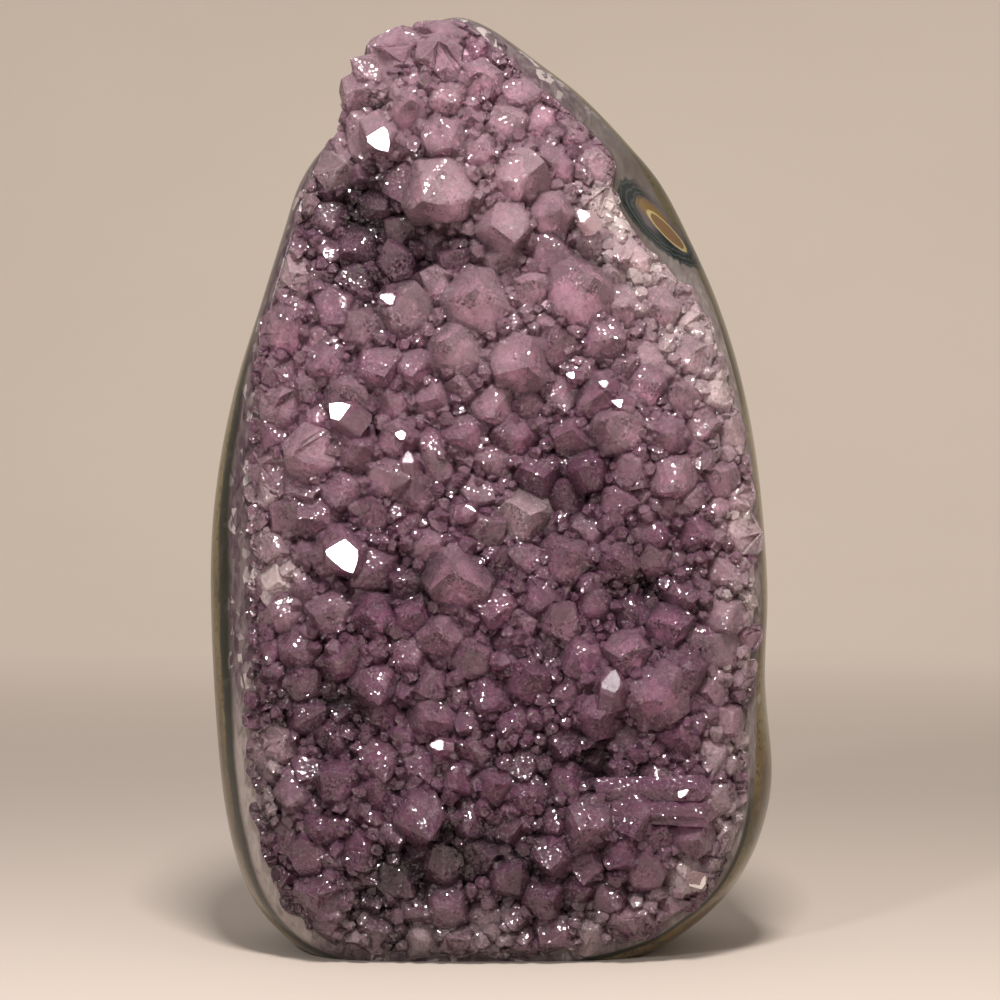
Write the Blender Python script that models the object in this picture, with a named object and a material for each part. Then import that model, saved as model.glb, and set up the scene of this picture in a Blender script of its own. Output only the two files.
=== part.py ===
"""A polished amethyst cluster: a crust of amethyst crystals on its agate and basalt matrix, cut flat to stand.

The crystals face -Y and the cluster stands on the plane z = 0. The origin is the middle of the bounding
box on that plane. Sizes below are in millimetres, and the meshes are made in metres.
"""

import math

import bmesh
import bpy
import numpy as np
from mathutils.geometry import delaunay_2d_cdt

MM = 0.001

# Driving sizes of the stone: its height, the depths of its main outlines at the base, and how much of
# every depth is lost by the top. MIDDLE is where the back bulges most, as x and z.
HEIGHT = 204.0
RIM_DEPTH = -28.0
GIRTH_DEPTH = -8.0
BACK_DEPTH = 42.0
TOP_THINNING = 0.45
MIDDLE = (0.0, 84.0)
BACK_SQUARENESS = 0.56
BACK_UNEVENNESS = 1.1
BOND_GAP = 0.3

# The stone's two outlines seen from the front, clockwise from the top. Each row is one direction:
# girth x and z, where the stone is widest, then rim x and z, where the polish meets the crystals.
# The last rows are the natural upper left edge, where the crystals reach past the stone.
OUTLINES = (
    (-8.5, 204.0, -9.0, 201.5),
    (-0.5, 202.0, -2.5, 199.0),
    (11.0, 194.0, 7.0, 190.5),
    (20.5, 186.5, 16.5, 182.5),
    (30.5, 176.0, 26.5, 172.0),
    (37.5, 167.5, 29.0, 163.5),
    (44.0, 155.0, 37.0, 152.0),
    (50.0, 141.0, 45.0, 140.0),
    (55.0, 124.5, 51.0, 123.0),
    (58.5, 105.0, 55.0, 105.0),
    (60.5, 80.0, 56.5, 80.0),
    (60.0, 59.0, 55.0, 60.0),
    (61.5, 38.0, 53.0, 39.5),
    (58.5, 24.0, 51.5, 27.5),
    (52.5, 13.5, 47.0, 17.0),
    (43.5, 5.0, 40.0, 10.5),
    (32.5, -1.5, 30.5, 5.5),
    (16.0, -6.5, 16.0, 3.0),
    (-2.5, -7.5, -2.5, 2.0),
    (-20.0, -6.5, -19.5, 2.5),
    (-36.5, -2.0, -33.5, 5.0),
    (-46.5, 4.5, -40.0, 10.0),
    (-53.5, 14.0, -44.5, 18.0),
    (-58.0, 30.0, -48.0, 32.0),
    (-60.5, 54.5, -49.5, 55.5),
    (-61.5, 83.0, -50.0, 82.0),
    (-60.0, 103.5, -50.0, 102.5),
    (-56.0, 123.5, -50.0, 121.5),
    (-50.5, 141.0, -47.5, 139.0),
    (-45.5, 157.0, -43.0, 155.0),
    (-42.0, 167.5, -40.0, 165.0),
    (-36.5, 175.5, -35.5, 173.0),
    (-29.5, 180.0, -32.0, 178.0),
    (-27.5, 188.0, -30.0, 187.0),
    (-21.5, 194.5, -24.0, 195.0),
    (-15.5, 199.5, -17.0, 200.0),
)
ROW_POINTS = 16

# The turns of the polished side, in degrees from facing front to facing sideways, and of the back
SIDE_TURNS = (0.0, 16.0, 34.0, 56.0, 90.0)
BACK_TURNS = (8.0, 17.0, 27.0, 38.0, 50.0, 61.0, 71.0, 79.0, 85.0, 88.3)
MATRIX_RING = 64

# The crust of crystals: a low dome that starts from a ledge inside its edge
CRUST_RING = 96
LEDGE_WIDTH = 1.2
LEDGE_HEIGHT = 1.8
DOME_HEIGHT = 6.5
DOME_REACH = 24.0
SCALLOP_ROWS = (31.6, 36.0)
SCALLOP_COUNT = 6
SCALLOP_HEIGHT = 1.4

# Swells and hollows of the crust: x, z, radius and height above the even dome
RELIEF = (
    (-15.0, 185.0, 14.0, 3.0),
    (-2.0, 164.0, 11.0, 4.5),
    (-4.0, 135.0, 15.0, 3.0),
    (19.0, 138.0, 10.0, 2.5),
    (32.0, 109.0, 14.0, 2.5),
    (-8.0, 81.0, 10.0, 3.0),
    (36.0, 57.0, 8.0, 3.5),
    (-36.0, 111.0, 12.0, 2.0),
    (21.0, 31.0, 9.0, 2.5),
    (-29.5, 68.5, 9.0, 2.0),
    (-15.0, 35.0, 9.0, 2.0),
    (-22.0, 152.0, 12.0, -7.0),
    (-34.0, 164.0, 9.0, -3.5),
    (16.0, 100.0, 9.0, -5.0),
    (32.0, 77.0, 8.0, -5.0),
    (-21.0, 79.0, 7.0, -4.0),
    (1.0, 87.0, 6.0, -3.0),
    (21.0, 42.0, 8.0, -4.5),
    (18.0, 149.0, 6.0, -4.0),
    (-6.0, 22.0, 12.0, -3.5),
    (-34.0, 52.0, 9.0, -3.5),
    (16.0, 18.0, 9.0, -3.0),
    (-21.0, 14.0, 8.0, -2.5),
)

# The larger crystals: x, z and radius
LARGE_CRYSTALS = (
    (-9.5, 164.5, 6.6),
    (1.7, 157.0, 5.0),
    (4.0, 166.0, 5.5),
    (-2.7, 139.0, 6.4),
    (-18.0, 136.0, 5.8),
    (-6.8, 129.5, 5.8),
    (5.3, 127.7, 6.0),
    (18.0, 140.5, 6.6),
    (-45.0, 134.5, 5.2),
    (-44.0, 125.0, 3.8),
    (21.5, 153.0, 4.6),
    (8.5, 142.5, 4.4),
    (5.9, 95.0, 5.2),
    (15.8, 85.0, 4.8),
    (27.5, 85.5, 4.4),
    (9.5, 103.5, 4.8),
    (-7.4, 80.2, 6.2),
    (-12.7, 88.0, 4.8),
    (-32.0, 86.5, 5.2),
    (-24.7, 60.2, 4.4),
    (35.5, 57.0, 5.8),
    (39.2, 61.5, 4.6),
    (47.5, 65.5, 4.4),
    (20.5, 65.5, 4.6),
    (15.8, 58.0, 4.2),
    (-12.0, 52.2, 4.8),
    (-15.6, 33.5, 5.0),
    (-1.5, 9.8, 3.8),
    (21.0, 30.5, 5.2),
    (30.0, 33.0, 4.6),
    (40.0, 19.5, 4.6),
    (-45.3, 81.0, 4.6),
    (-37.0, 108.0, 5.0),
    (-25.5, 175.5, 4.6),
    (-20.0, 194.0, 4.8),
    (-11.0, 191.5, 4.4),
    (-3.0, 187.0, 4.2),
    (-17.0, 181.5, 4.4),
    (28.0, 113.0, 5.0),
    (38.0, 104.0, 4.6),
    (43.0, 92.0, 4.4),
    (24.0, 120.0, 4.8),
    (-34.5, 15.0, 5.0),
    (-27.0, 26.0, 4.6),
    (-22.0, 103.0, 4.6),
    (-30.0, 119.0, 4.6),
)

# The smaller crystals that fill the space between them, and the shape of every crystal: how high its
# shoulders stand and how much higher its tip is, both for a radius of 1
FILL_RADII = (4.2, 3.7, 3.2, 2.8, 2.4)
CRYSTAL_COUNT = 410
SCATTER_TRIES = 5000
SCATTER_SEED = 11
CLOSENESS = 0.86
STAND = 0.55
TIP = 1.0
SPREAD = 0.55
LEAN = 0.26
MOST_LEAN = 0.42
SLOPE_STEP = 1.5


class Shell:
    """Points and faces gathered for one closed mesh."""

    def __init__(self):
        self.points = []
        self.faces = []

    def add(self, points):
        """Adds the points and gives their numbers."""
        first = len(self.points)
        self.points.extend(tuple(point) for point in points)
        return list(range(first, len(self.points)))

    def band(self, near, far):
        """Adds the faces between two closed loops that have the same number of points."""
        for k, point in enumerate(near):
            after = (k + 1) % len(near)
            self.faces.append((point, far[k], far[after], near[after]))

    def fan(self, loop, tip):
        """Adds the faces between a closed loop and one point."""
        for k, point in enumerate(loop):
            self.faces.append((point, tip, loop[(k + 1) % len(loop)]))

    def stitch(self, inner, outer, inner_angles, outer_angles):
        """Adds the faces between two closed loops round one centre, whose points are in order of angle."""
        steps = [(angle, 0) for angle in inner_angles] + [(angle, 1) for angle in outer_angles]
        loops = (inner, outer)
        here = [-1, -1]
        for _, side in sorted(steps):
            pair = (inner[here[0]], outer[here[1]])
            here[side] = (here[side] + 1) % len(loops[side])
            self.faces.append((*pair, loops[side][here[side]]))

    def to_bmesh(self):
        """The gathered points and faces as a mesh that can be edited."""
        mesh = bmesh.new()
        verts = [mesh.verts.new(point) for point in self.points]
        for face in self.faces:
            mesh.faces.new([verts[number] for number in face])
        return mesh


def catmull_rom(rows, count):
    """Points on the closed curve through the rows, with the same number between each two rows."""
    rows = np.asarray(rows, float)
    at = np.arange(len(rows) * count) / count
    first = at.astype(int)
    t = (at - first)[:, None]
    before, start, end, after = (rows[(first + step) % len(rows)] for step in (-1, 0, 1, 2))
    return 0.5 * (
        2 * start
        + (end - before) * t
        + (2 * before - 5 * start + 4 * end - after) * t**2
        + (3 * start - before - 3 * end + after) * t**3
    )


def outlines(count):
    """The girth and the rim as count points each, evenly spaced along the girth, and each point's row."""
    dense = catmull_rom(OUTLINES, ROW_POINTS)
    closed = np.vstack([dense, dense[:1]])
    steps = np.linalg.norm(np.diff(closed[:, :2], axis=0), axis=1)
    along = np.concatenate([[0.0], np.cumsum(steps)])
    at = along[-1] * np.arange(count) / count
    even = np.stack([np.interp(at, along, column) for column in closed.T], axis=1)
    row = np.interp(at, along, np.arange(len(closed)) / ROW_POINTS)
    return even[:, :2], even[:, 2:], row


def thinned(depth, z):
    """A depth given at the base, as it is at height z on the thinning stone."""
    return depth * (1 - TOP_THINNING * z / HEIGHT)


def outward(ring):
    """The outward normals of a ring that runs clockwise seen from the front."""
    along = np.roll(ring, -1, axis=0) - np.roll(ring, 1, axis=0)
    along /= np.linalg.norm(along, axis=1)[:, None]
    return np.stack([-along[:, 1], along[:, 0]], axis=1)


def back_swell(x, z):
    """The slow swells of the back, in millimetres outwards."""
    return BACK_UNEVENNESS * (
        np.sin(0.085 * x + 0.06 * z + 0.7)
        + 0.7 * np.sin(0.13 * z - 0.05 * x + 2.1)
        + 0.5 * np.sin(0.21 * x - 0.09 * z)
    )


def side_rings():
    """Rings of the polished side, a quarter of an ellipse from the rim to the girth."""
    girth, rim, _ = outlines(MATRIX_RING)
    for turn in map(math.radians, SIDE_TURNS):
        ring = rim + (girth - rim) * math.sin(turn)
        depth = RIM_DEPTH + (GIRTH_DEPTH - RIM_DEPTH) * (1 - math.cos(turn))
        yield np.stack([ring[:, 0], thinned(depth, ring[:, 1]), ring[:, 1]], axis=1)


def back_rings():
    """Rings of the back, a blunt dome from the girth to the middle."""
    girth = outlines(MATRIX_RING)[0]
    for turn in map(math.radians, BACK_TURNS):
        ring = MIDDLE + (girth - MIDDLE) * math.cos(turn) ** BACK_SQUARENESS
        reach = math.sin(turn) ** BACK_SQUARENESS
        depth = GIRTH_DEPTH + (BACK_DEPTH - GIRTH_DEPTH) * reach
        depth = thinned(depth, ring[:, 1]) + back_swell(*ring.T) * reach
        yield np.stack([ring[:, 0], depth, ring[:, 1]], axis=1)


def build_matrix():
    """The matrix: its rings joined, closed in front by the flat bond and cut flat below."""
    shell = Shell()
    loops = [shell.add(ring) for ring in (*side_rings(), *back_rings())]
    x, z = MIDDLE
    middle = shell.add([(x, thinned(BACK_DEPTH, z) + back_swell(x, z), z)])[0]
    shell.faces.append(loops[0])
    for near, far in zip(loops, loops[1:]):
        shell.band(near, far)
    shell.fan(loops[-1], middle)
    mesh = shell.to_bmesh()
    parts = mesh.verts[:] + mesh.edges[:] + mesh.faces[:]
    cut = bmesh.ops.bisect_plane(mesh, geom=parts, plane_co=(0, 0, 0), plane_no=(0, 0, -1), clear_outer=True)
    base_edges = [edge for edge in cut["geom_cut"] if isinstance(edge, bmesh.types.BMEdge)]
    bmesh.ops.edgeloop_fill(mesh, edges=base_edges)
    return mesh


def distance_to(ring, points):
    """Each point's distance to the closed ring, positive inside it."""
    start, end = ring, np.roll(ring, -1, axis=0)
    along = end - start
    from_start = points[:, None, :] - start
    share = np.clip((from_start * along).sum(axis=2) / (along**2).sum(axis=1), 0, 1)
    distance = np.linalg.norm(from_start - share[..., None] * along, axis=2).min(axis=1)
    x, z = points[:, None, 0], points[:, None, 1]
    spans = (start[:, 1] > z) != (end[:, 1] > z)
    rise = np.where(along[:, 1] == 0, 1.0, along[:, 1])
    crossing = start[:, 0] + (z - start[:, 1]) * along[:, 0] / rise
    inside = (spans & (x < crossing)).sum(axis=1) % 2 == 1
    return np.where(inside, distance, -distance)


def crust_edge():
    """The crust's outline. Single crystals stand out as scallops along its natural upper left."""
    _, rim, row = outlines(CRUST_RING)
    first, last = SCALLOP_ROWS
    share = np.clip((row - first) / (last - first), 0, 1)
    scallop = SCALLOP_HEIGHT * np.abs(np.sin(share * SCALLOP_COUNT * math.pi)) ** 0.6
    return rim + outward(rim) * scallop[:, None]


def crust_height(edge, points):
    """The crust's height in front of the bond: the low dome with its swells and hollows."""
    inwards = np.clip(distance_to(edge, points) / DOME_REACH, 0, 1)
    height = LEDGE_HEIGHT + DOME_HEIGHT * np.sin(0.5 * math.pi * inwards)
    for x, z, radius, swell in RELIEF:
        away = ((points - (x, z)) ** 2).sum(axis=1) / radius**2
        height += swell * np.exp(-away) * np.minimum(1, 3 * inwards)
    return np.maximum(height, LEDGE_HEIGHT)


def crust_slopes(edge, points):
    """How steeply the crust rises along x and along z at the points."""
    steps = SLOPE_STEP * np.eye(2)
    rises = [crust_height(edge, points + step) - crust_height(edge, points - step) for step in steps]
    return np.stack(rises, axis=1) / (2 * SLOPE_STEP)


def scatter_crystals(edge):
    """Places and radii of all crystals: the large ones, then ever smaller ones in the space that is left."""
    rng = np.random.default_rng(SCATTER_SEED)
    placed = [np.array(row) for row in LARGE_CRYSTALS]
    low, high = edge.min(axis=0), edge.max(axis=0)
    for radius in FILL_RADII:
        tries = rng.uniform(low, high, (SCATTER_TRIES, 2))
        for point in tries[distance_to(edge, tries) > 0.75 * radius]:
            others = np.array(placed)
            room = np.linalg.norm(others[:, :2] - point, axis=1) - CLOSENESS * (others[:, 2] + radius)
            if room.min() > 0 and len(placed) < CRYSTAL_COUNT:
                placed.append(np.array([*point, radius]))
    return np.array(placed)


def meeting_places(ledge, sites):
    """The triples of neighbours, ledge points first and crystals after, and the place where each meets."""
    count = len(ledge)
    flat = np.vstack([ledge, sites[:, :2]])
    reach = np.concatenate([np.ones(count), sites[:, 2]])
    border = [(k, (k + 1) % count) for k in range(count)]
    triples = np.array(delaunay_2d_cdt([tuple(point) for point in flat], border, [], 1, 1e-6)[2])
    weight = 1 / reach[triples][..., None]
    return triples, (flat[triples] * weight).sum(axis=1) / weight.sum(axis=1)


def sides_of_pairs(triples):
    """For each pair of neighbours, the numbers of the triples on its sides."""
    sides = {}
    for number, triple in enumerate(triples.tolist()):
        for start, end in zip(triple, triple[1:] + triple[:1]):
            sides.setdefault((min(start, end), max(start, end)), []).append(number)
    return sides


def crystal(place, base, radius, lean, roll):
    """A crystal's six shoulders and its tip, as x, z and height."""
    axis = np.array([*lean, 1.0])
    axis /= np.linalg.norm(axis)
    across = np.cross(axis, (math.sin(roll), math.cos(roll), 0.3))
    across /= np.linalg.norm(across)
    turns = np.radians(60 * np.arange(6))[:, None]
    foot = np.array([*place, base])
    spokes = np.cos(turns) * across + np.sin(turns) * np.cross(axis, across)
    return foot + radius * (STAND * axis + spokes), foot + radius * (STAND + TIP) * axis


def fitted_crystal(site, base, lean, roll, cell):
    """The crystal of a site, made small enough to keep its shoulders inside its cell and above its base."""
    radius = min(1.15 * site[2], distance_to(cell, site[None, :2])[0])
    ring, tip = crystal(site[:2], base, radius, lean, roll)
    while distance_to(cell, ring[:, :2]).min() < 0.05 * radius:
        radius *= 0.94
        ring, tip = crystal(site[:2], base, radius, lean, roll)
    lift = np.array([0, 0, max(0, base - ring[:, 2].min())])
    return ring + lift, tip + lift


def angles_round(centre, points):
    """The angles of the points round the centre, in the plane of the face."""
    return np.arctan2(points[:, 1] - centre[1], points[:, 0] - centre[0])


def on_bond(points):
    """Points given as x, z and height in front of the bond, as x, y and z."""
    x, z, height = np.asarray(points).T
    return np.column_stack([x, thinned(RIM_DEPTH - BOND_GAP, z) - height, z])


def build_crust():
    """The crust: a flat back, a wall at its edge, and a front of crystals that meet in low places."""
    edge = crust_edge()
    ledge = edge - outward(edge) * LEDGE_WIDTH
    sites = scatter_crystals(edge)
    count = len(edge)
    shell = Shell()
    back_loop = shell.add(on_bond(np.column_stack([edge, np.zeros(count)])))
    ledge_loop = shell.add(on_bond(np.column_stack([ledge, np.full(count, LEDGE_HEIGHT)])))
    triples, places = meeting_places(ledge, sites)
    corners = shell.add(on_bond(np.column_stack([places, crust_height(edge, places)])))
    shell.faces.append(back_loop)
    shell.band(back_loop, ledge_loop)
    for pair, sides in sides_of_pairs(triples).items():
        if len(sides) == 1:
            shell.faces.append((ledge_loop[pair[0]], ledge_loop[pair[1]], corners[sides[0]]))
            continue
        for point in pair:
            if point < count:
                shell.faces.append((ledge_loop[point], corners[sides[0]], corners[sides[1]]))
    rng = np.random.default_rng(SCATTER_SEED + 1)
    leans = rng.uniform(-LEAN, LEAN, (len(sites), 2)) - SPREAD * crust_slopes(edge, sites[:, :2])
    leans *= np.minimum(1, MOST_LEAN / np.linalg.norm(leans, axis=1))[:, None]
    rolls = rng.uniform(0, math.pi, len(sites))
    bases = crust_height(edge, sites[:, :2])
    for number, site in enumerate(sites):
        centre = site[:2]
        touching = np.flatnonzero((triples == count + number).any(axis=1))
        cell_angles = angles_round(centre, places[touching])
        order = np.argsort(cell_angles)
        cell = places[touching[order]]
        ring, tip = fitted_crystal(site, bases[number], leans[number], rolls[number], cell)
        ring = ring[np.argsort(angles_round(centre, ring))]
        shoulders = shell.add(on_bond(ring))
        cell_loop = [corners[triple] for triple in touching[order]]
        shell.stitch(shoulders, cell_loop, angles_round(centre, ring), cell_angles[order])
        shell.fan(shoulders, shell.add(on_bond(tip[None]))[0])
    return shell.to_bmesh()


def stone_material(name, colour, roughness, transmission=0.0):
    """A material with the stone's colour, gloss and clearness."""
    material = bpy.data.materials.new(name)
    material.use_nodes = True
    surface = material.node_tree.nodes["Principled BSDF"]
    surface.inputs["Base Color"].default_value = (*colour, 1.0)
    surface.inputs["Roughness"].default_value = roughness
    surface.inputs["Metallic"].default_value = 0.0
    surface.inputs["IOR"].default_value = 1.54
    surface.inputs["Transmission Weight"].default_value = transmission
    return material


def footprint_middle(meshes):
    """The middle of the meshes' joint bounding box, as x and y."""
    points = np.array([vertex.co[:2] for mesh in meshes for vertex in mesh.verts])
    return (points.min(axis=0) + points.max(axis=0)) / 2


def add_object(name, mesh, middle, material):
    """One named object from a mesh in millimetres, moved to put the footprint's middle at the origin."""
    for vertex in mesh.verts:
        vertex.co = ((vertex.co.x - middle[0]) * MM, (vertex.co.y - middle[1]) * MM, vertex.co.z * MM)
    bmesh.ops.triangulate(mesh, faces=[face for face in mesh.faces if len(face.verts) > 3])
    bmesh.ops.recalc_face_normals(mesh, faces=mesh.faces)
    data = bpy.data.meshes.new(name)
    mesh.to_mesh(data)
    mesh.free()
    data.materials.append(material)
    stone = bpy.data.objects.new(name, data)
    bpy.context.scene.collection.objects.link(stone)
    return stone


def main():
    """Clears the scene and builds the matrix and the crust of crystals."""
    for old in list(bpy.data.objects):
        bpy.data.objects.remove(old)
    matrix, crust = build_matrix(), build_crust()
    middle = footprint_middle([matrix, crust])
    rock = stone_material("matrix_stone", (0.17, 0.15, 0.07), 0.2)
    quartz = stone_material("amethyst", (0.3, 0.16, 0.32), 0.1, transmission=0.4)
    stone = add_object("stone_matrix", matrix, middle, rock)
    stone.data.shade_smooth()
    stone.data.set_sharp_from_angle(angle=math.radians(40))
    add_object("amethyst_crystals", crust, middle, quartz)


main()
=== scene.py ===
"""A polished amethyst cluster: the ground and polished matrix, its druse of amethyst, and a pale studio."""

import logging
import math
from dataclasses import dataclass, field
from enum import Enum
from itertools import combinations

import bmesh
import bpy
import numpy as np
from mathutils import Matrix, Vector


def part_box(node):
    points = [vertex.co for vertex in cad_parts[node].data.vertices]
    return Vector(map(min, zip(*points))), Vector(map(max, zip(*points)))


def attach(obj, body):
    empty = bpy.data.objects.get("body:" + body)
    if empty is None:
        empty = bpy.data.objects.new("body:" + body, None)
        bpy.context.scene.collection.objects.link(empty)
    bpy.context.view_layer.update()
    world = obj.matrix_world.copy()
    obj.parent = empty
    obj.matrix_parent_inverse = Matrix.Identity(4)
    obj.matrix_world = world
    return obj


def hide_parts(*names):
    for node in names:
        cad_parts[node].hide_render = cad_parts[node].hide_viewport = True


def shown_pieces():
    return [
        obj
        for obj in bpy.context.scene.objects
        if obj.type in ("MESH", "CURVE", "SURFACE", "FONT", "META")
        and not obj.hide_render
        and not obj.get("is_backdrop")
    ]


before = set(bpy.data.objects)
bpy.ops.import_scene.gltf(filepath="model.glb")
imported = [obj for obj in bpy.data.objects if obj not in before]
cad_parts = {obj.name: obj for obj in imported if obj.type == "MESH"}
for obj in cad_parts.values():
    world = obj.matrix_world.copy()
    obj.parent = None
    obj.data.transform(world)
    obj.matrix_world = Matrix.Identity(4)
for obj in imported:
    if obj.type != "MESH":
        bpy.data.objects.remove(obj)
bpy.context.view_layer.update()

BODY = "root"
MM = 0.001
log = logging.getLogger("amethyst")


# The stone's form, shared by its pieces

# The stone's two outlines seen from the front, clockwise from the top, in millimetres. Each row is one
# direction: girth x and z, where the stone is widest, then rim x and z, where the crystals begin.
OUTLINES = (
    (-8.5, 204.0, -9.0, 201.5),
    (-0.5, 202.0, -2.5, 199.0),
    (11.0, 194.0, 7.0, 190.5),
    (20.5, 186.5, 16.5, 182.5),
    (30.5, 176.0, 26.5, 172.0),
    (37.5, 167.5, 26.6, 163.5),
    (44.0, 155.0, 34.4, 151.6),
    (50.0, 141.0, 45.0, 140.0),
    (55.0, 124.5, 51.0, 123.0),
    (58.5, 105.0, 55.0, 105.0),
    (60.5, 80.0, 56.5, 80.0),
    (60.0, 59.0, 55.0, 60.0),
    (61.5, 38.0, 53.0, 39.5),
    (58.5, 24.0, 51.5, 27.5),
    (52.5, 13.5, 47.0, 17.0),
    (43.5, 5.0, 40.0, 10.5),
    (32.5, -1.5, 30.5, 5.5),
    (16.0, -6.5, 16.0, 3.0),
    (-2.5, -7.5, -2.5, 2.0),
    (-20.0, -6.5, -19.5, 2.5),
    (-36.5, -2.0, -33.5, 5.0),
    (-46.5, 4.5, -40.0, 10.0),
    (-53.5, 14.0, -44.5, 18.0),
    (-58.0, 30.0, -48.0, 32.0),
    (-60.5, 54.5, -49.5, 55.5),
    (-61.5, 83.0, -50.0, 82.0),
    (-60.0, 103.5, -50.0, 102.5),
    (-56.0, 123.5, -50.0, 121.5),
    (-50.5, 141.0, -47.5, 139.0),
    (-45.5, 157.0, -43.0, 155.0),
    (-42.0, 167.5, -40.0, 165.0),
    (-36.5, 175.5, -35.5, 173.0),
    (-29.5, 180.0, -32.0, 178.0),
    (-27.5, 188.0, -30.0, 187.0),
    (-21.5, 194.5, -24.0, 195.0),
    (-15.5, 199.5, -17.0, 200.0),
)

# Swells and hollows of the crust: x, z, radius and height above the even dome
RELIEF = (
    (-15.0, 185.0, 14.0, 3.0),
    (-2.0, 164.0, 11.0, 4.5),
    (-4.0, 135.0, 15.0, 3.0),
    (19.0, 138.0, 10.0, 2.5),
    (32.0, 109.0, 14.0, 2.5),
    (-8.0, 81.0, 10.0, 3.0),
    (36.0, 57.0, 8.0, 3.5),
    (-36.0, 111.0, 12.0, 2.0),
    (21.0, 31.0, 9.0, 2.5),
    (-29.5, 68.5, 9.0, 2.0),
    (-15.0, 35.0, 9.0, 2.0),
    (-22.0, 152.0, 12.0, -7.0),
    (-34.0, 164.0, 9.0, -3.5),
    (16.0, 100.0, 9.0, -5.0),
    (32.0, 77.0, 8.0, -5.0),
    (-21.0, 79.0, 7.0, -4.0),
    (1.0, 87.0, 6.0, -3.0),
    (21.0, 42.0, 8.0, -4.5),
    (18.0, 149.0, 6.0, -4.0),
    (-6.0, 22.0, 12.0, -3.5),
    (-34.0, 52.0, 9.0, -3.5),
    (16.0, 18.0, 9.0, -3.0),
    (-21.0, 14.0, 8.0, -2.5),
)

# The larger crystals: x, z and radius
LARGE_CRYSTALS = (
    (-9.5, 164.5, 6.6),
    (1.7, 157.0, 5.0),
    (4.0, 166.0, 5.5),
    (-2.7, 139.0, 6.4),
    (-18.0, 136.0, 5.8),
    (-6.8, 129.5, 5.8),
    (5.3, 127.7, 6.0),
    (18.0, 140.5, 6.6),
    (-45.0, 134.5, 5.2),
    (-44.0, 125.0, 3.8),
    (21.5, 153.0, 4.6),
    (8.5, 142.5, 4.4),
    (5.9, 95.0, 5.2),
    (15.8, 85.0, 4.8),
    (27.5, 85.5, 4.4),
    (9.5, 103.5, 4.8),
    (-7.4, 80.2, 6.2),
    (-12.7, 88.0, 4.8),
    (-32.0, 86.5, 5.2),
    (-24.7, 60.2, 4.4),
    (35.5, 57.0, 5.8),
    (39.2, 61.5, 4.6),
    (47.5, 65.5, 4.4),
    (20.5, 65.5, 4.6),
    (15.8, 58.0, 4.2),
    (-12.0, 52.2, 4.8),
    (-15.6, 33.5, 5.0),
    (-1.5, 9.8, 3.8),
    (21.0, 30.5, 5.2),
    (30.0, 33.0, 4.6),
    (40.0, 19.5, 4.6),
    (-45.3, 81.0, 4.6),
    (-37.0, 108.0, 5.0),
    (-25.5, 175.5, 4.6),
    (-20.0, 194.0, 4.8),
    (-11.0, 191.5, 4.4),
    (-3.0, 187.0, 4.2),
    (-17.0, 181.5, 4.4),
    (28.0, 113.0, 5.0),
    (38.0, 104.0, 4.6),
    (43.0, 92.0, 4.4),
    (24.0, 120.0, 4.8),
    (-34.5, 15.0, 5.0),
    (-27.0, 26.0, 4.6),
    (-22.0, 103.0, 4.6),
    (-30.0, 119.0, 4.6),
)

# Crystals with one face turned to mirror the small lamp: the face's x and z, and the crystal's radius
GLINTS = (
    (-23.5, 174.5, 4.4),
    (-21.7, 140.8, 2.2),
    (-31.8, 116.8, 3.8),
    (-18.9, 111.9, 1.6),
    (-17.4, 107.3, 2.3),
    (-30.3, 86.4, 5.0),
    (-4.3, 95.9, 2.3),
    (2.6, 64.6, 1.9),
    (25.2, 60.4, 3.8),
    (26.7, 118.7, 2.1),
    (17.0, 124.4, 1.5),
    (24.0, 122.5, 1.6),
    (19.7, 158.4, 2.4),
    (27.8, 150.2, 1.7),
    (-11.3, 47.1, 2.1),
    (40.0, 37.0, 1.9),
    (45.3, 35.0, 1.6),
    (42.0, 19.0, 2.0),
)

# Crystals that stand out from the natural upper left edge: x, z and radius
EDGE_CRYSTALS = (
    (-17.6, 194.6, 5.2),
    (-24.6, 189.2, 4.4),
    (-27.2, 183.6, 3.0),
    (-26.6, 178.2, 4.2),
    (-9.5, 198.0, 4.2),
    (-31.5, 173.5, 3.0),
)

# Slender crystals that lie along the face: x and z of the foot, radius, then the direction of the tip
LYING_CRYSTALS = (
    (24.5, 36.6, 3.3, 1.0, -0.10, 0.04),
    (27.5, 33.0, 2.6, 1.0, -0.12, -0.04),
)

# Places with milky white quartz instead of purple: x, z, radius and share
PALE_PLACES = (
    (25.0, 159.0, 9.0, 1.0),
    (23.5, 151.0, 6.0, 0.9),
    (34.0, 146.5, 9.0, 1.0),
    (42.0, 134.0, 9.0, 0.9),
    (48.0, 123.0, 7.0, 0.9),
    (52.0, 112.0, 7.0, 0.8),
    (54.0, 95.0, 6.0, 0.9),
    (54.0, 78.0, 6.0, 1.0),
    (52.0, 63.0, 5.0, 0.8),
    (51.0, 46.0, 6.0, 0.7),
    (50.0, 30.0, 6.0, 0.9),
    (-4.0, 163.0, 17.0, 0.22),
    (0.0, 137.0, 16.0, 0.16),
    (42.0, 19.5, 4.5, 0.9),
    (33.0, 12.5, 5.0, 0.5),
    (22.0, 7.5, 6.0, 0.5),
    (0.0, 5.0, 7.0, 0.6),
    (-14.0, 5.0, 7.0, 0.6),
    (-28.0, 7.0, 6.0, 0.6),
    (-46.0, 34.0, 5.0, 0.7),
    (-47.0, 44.0, 5.0, 0.7),
    (-44.0, 81.0, 4.5, 0.9),
    (-48.0, 90.0, 5.0, 0.5),
    (-47.0, 100.0, 5.0, 0.5),
    (-33.5, 171.0, 4.0, 0.7),
    (-40.0, 162.0, 4.0, 0.6),
    (-43.0, 147.0, 4.0, 0.6),
    (5.9, 95.0, 4.0, 0.5),
    (-22.0, 183.0, 6.0, 0.3),
)


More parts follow.
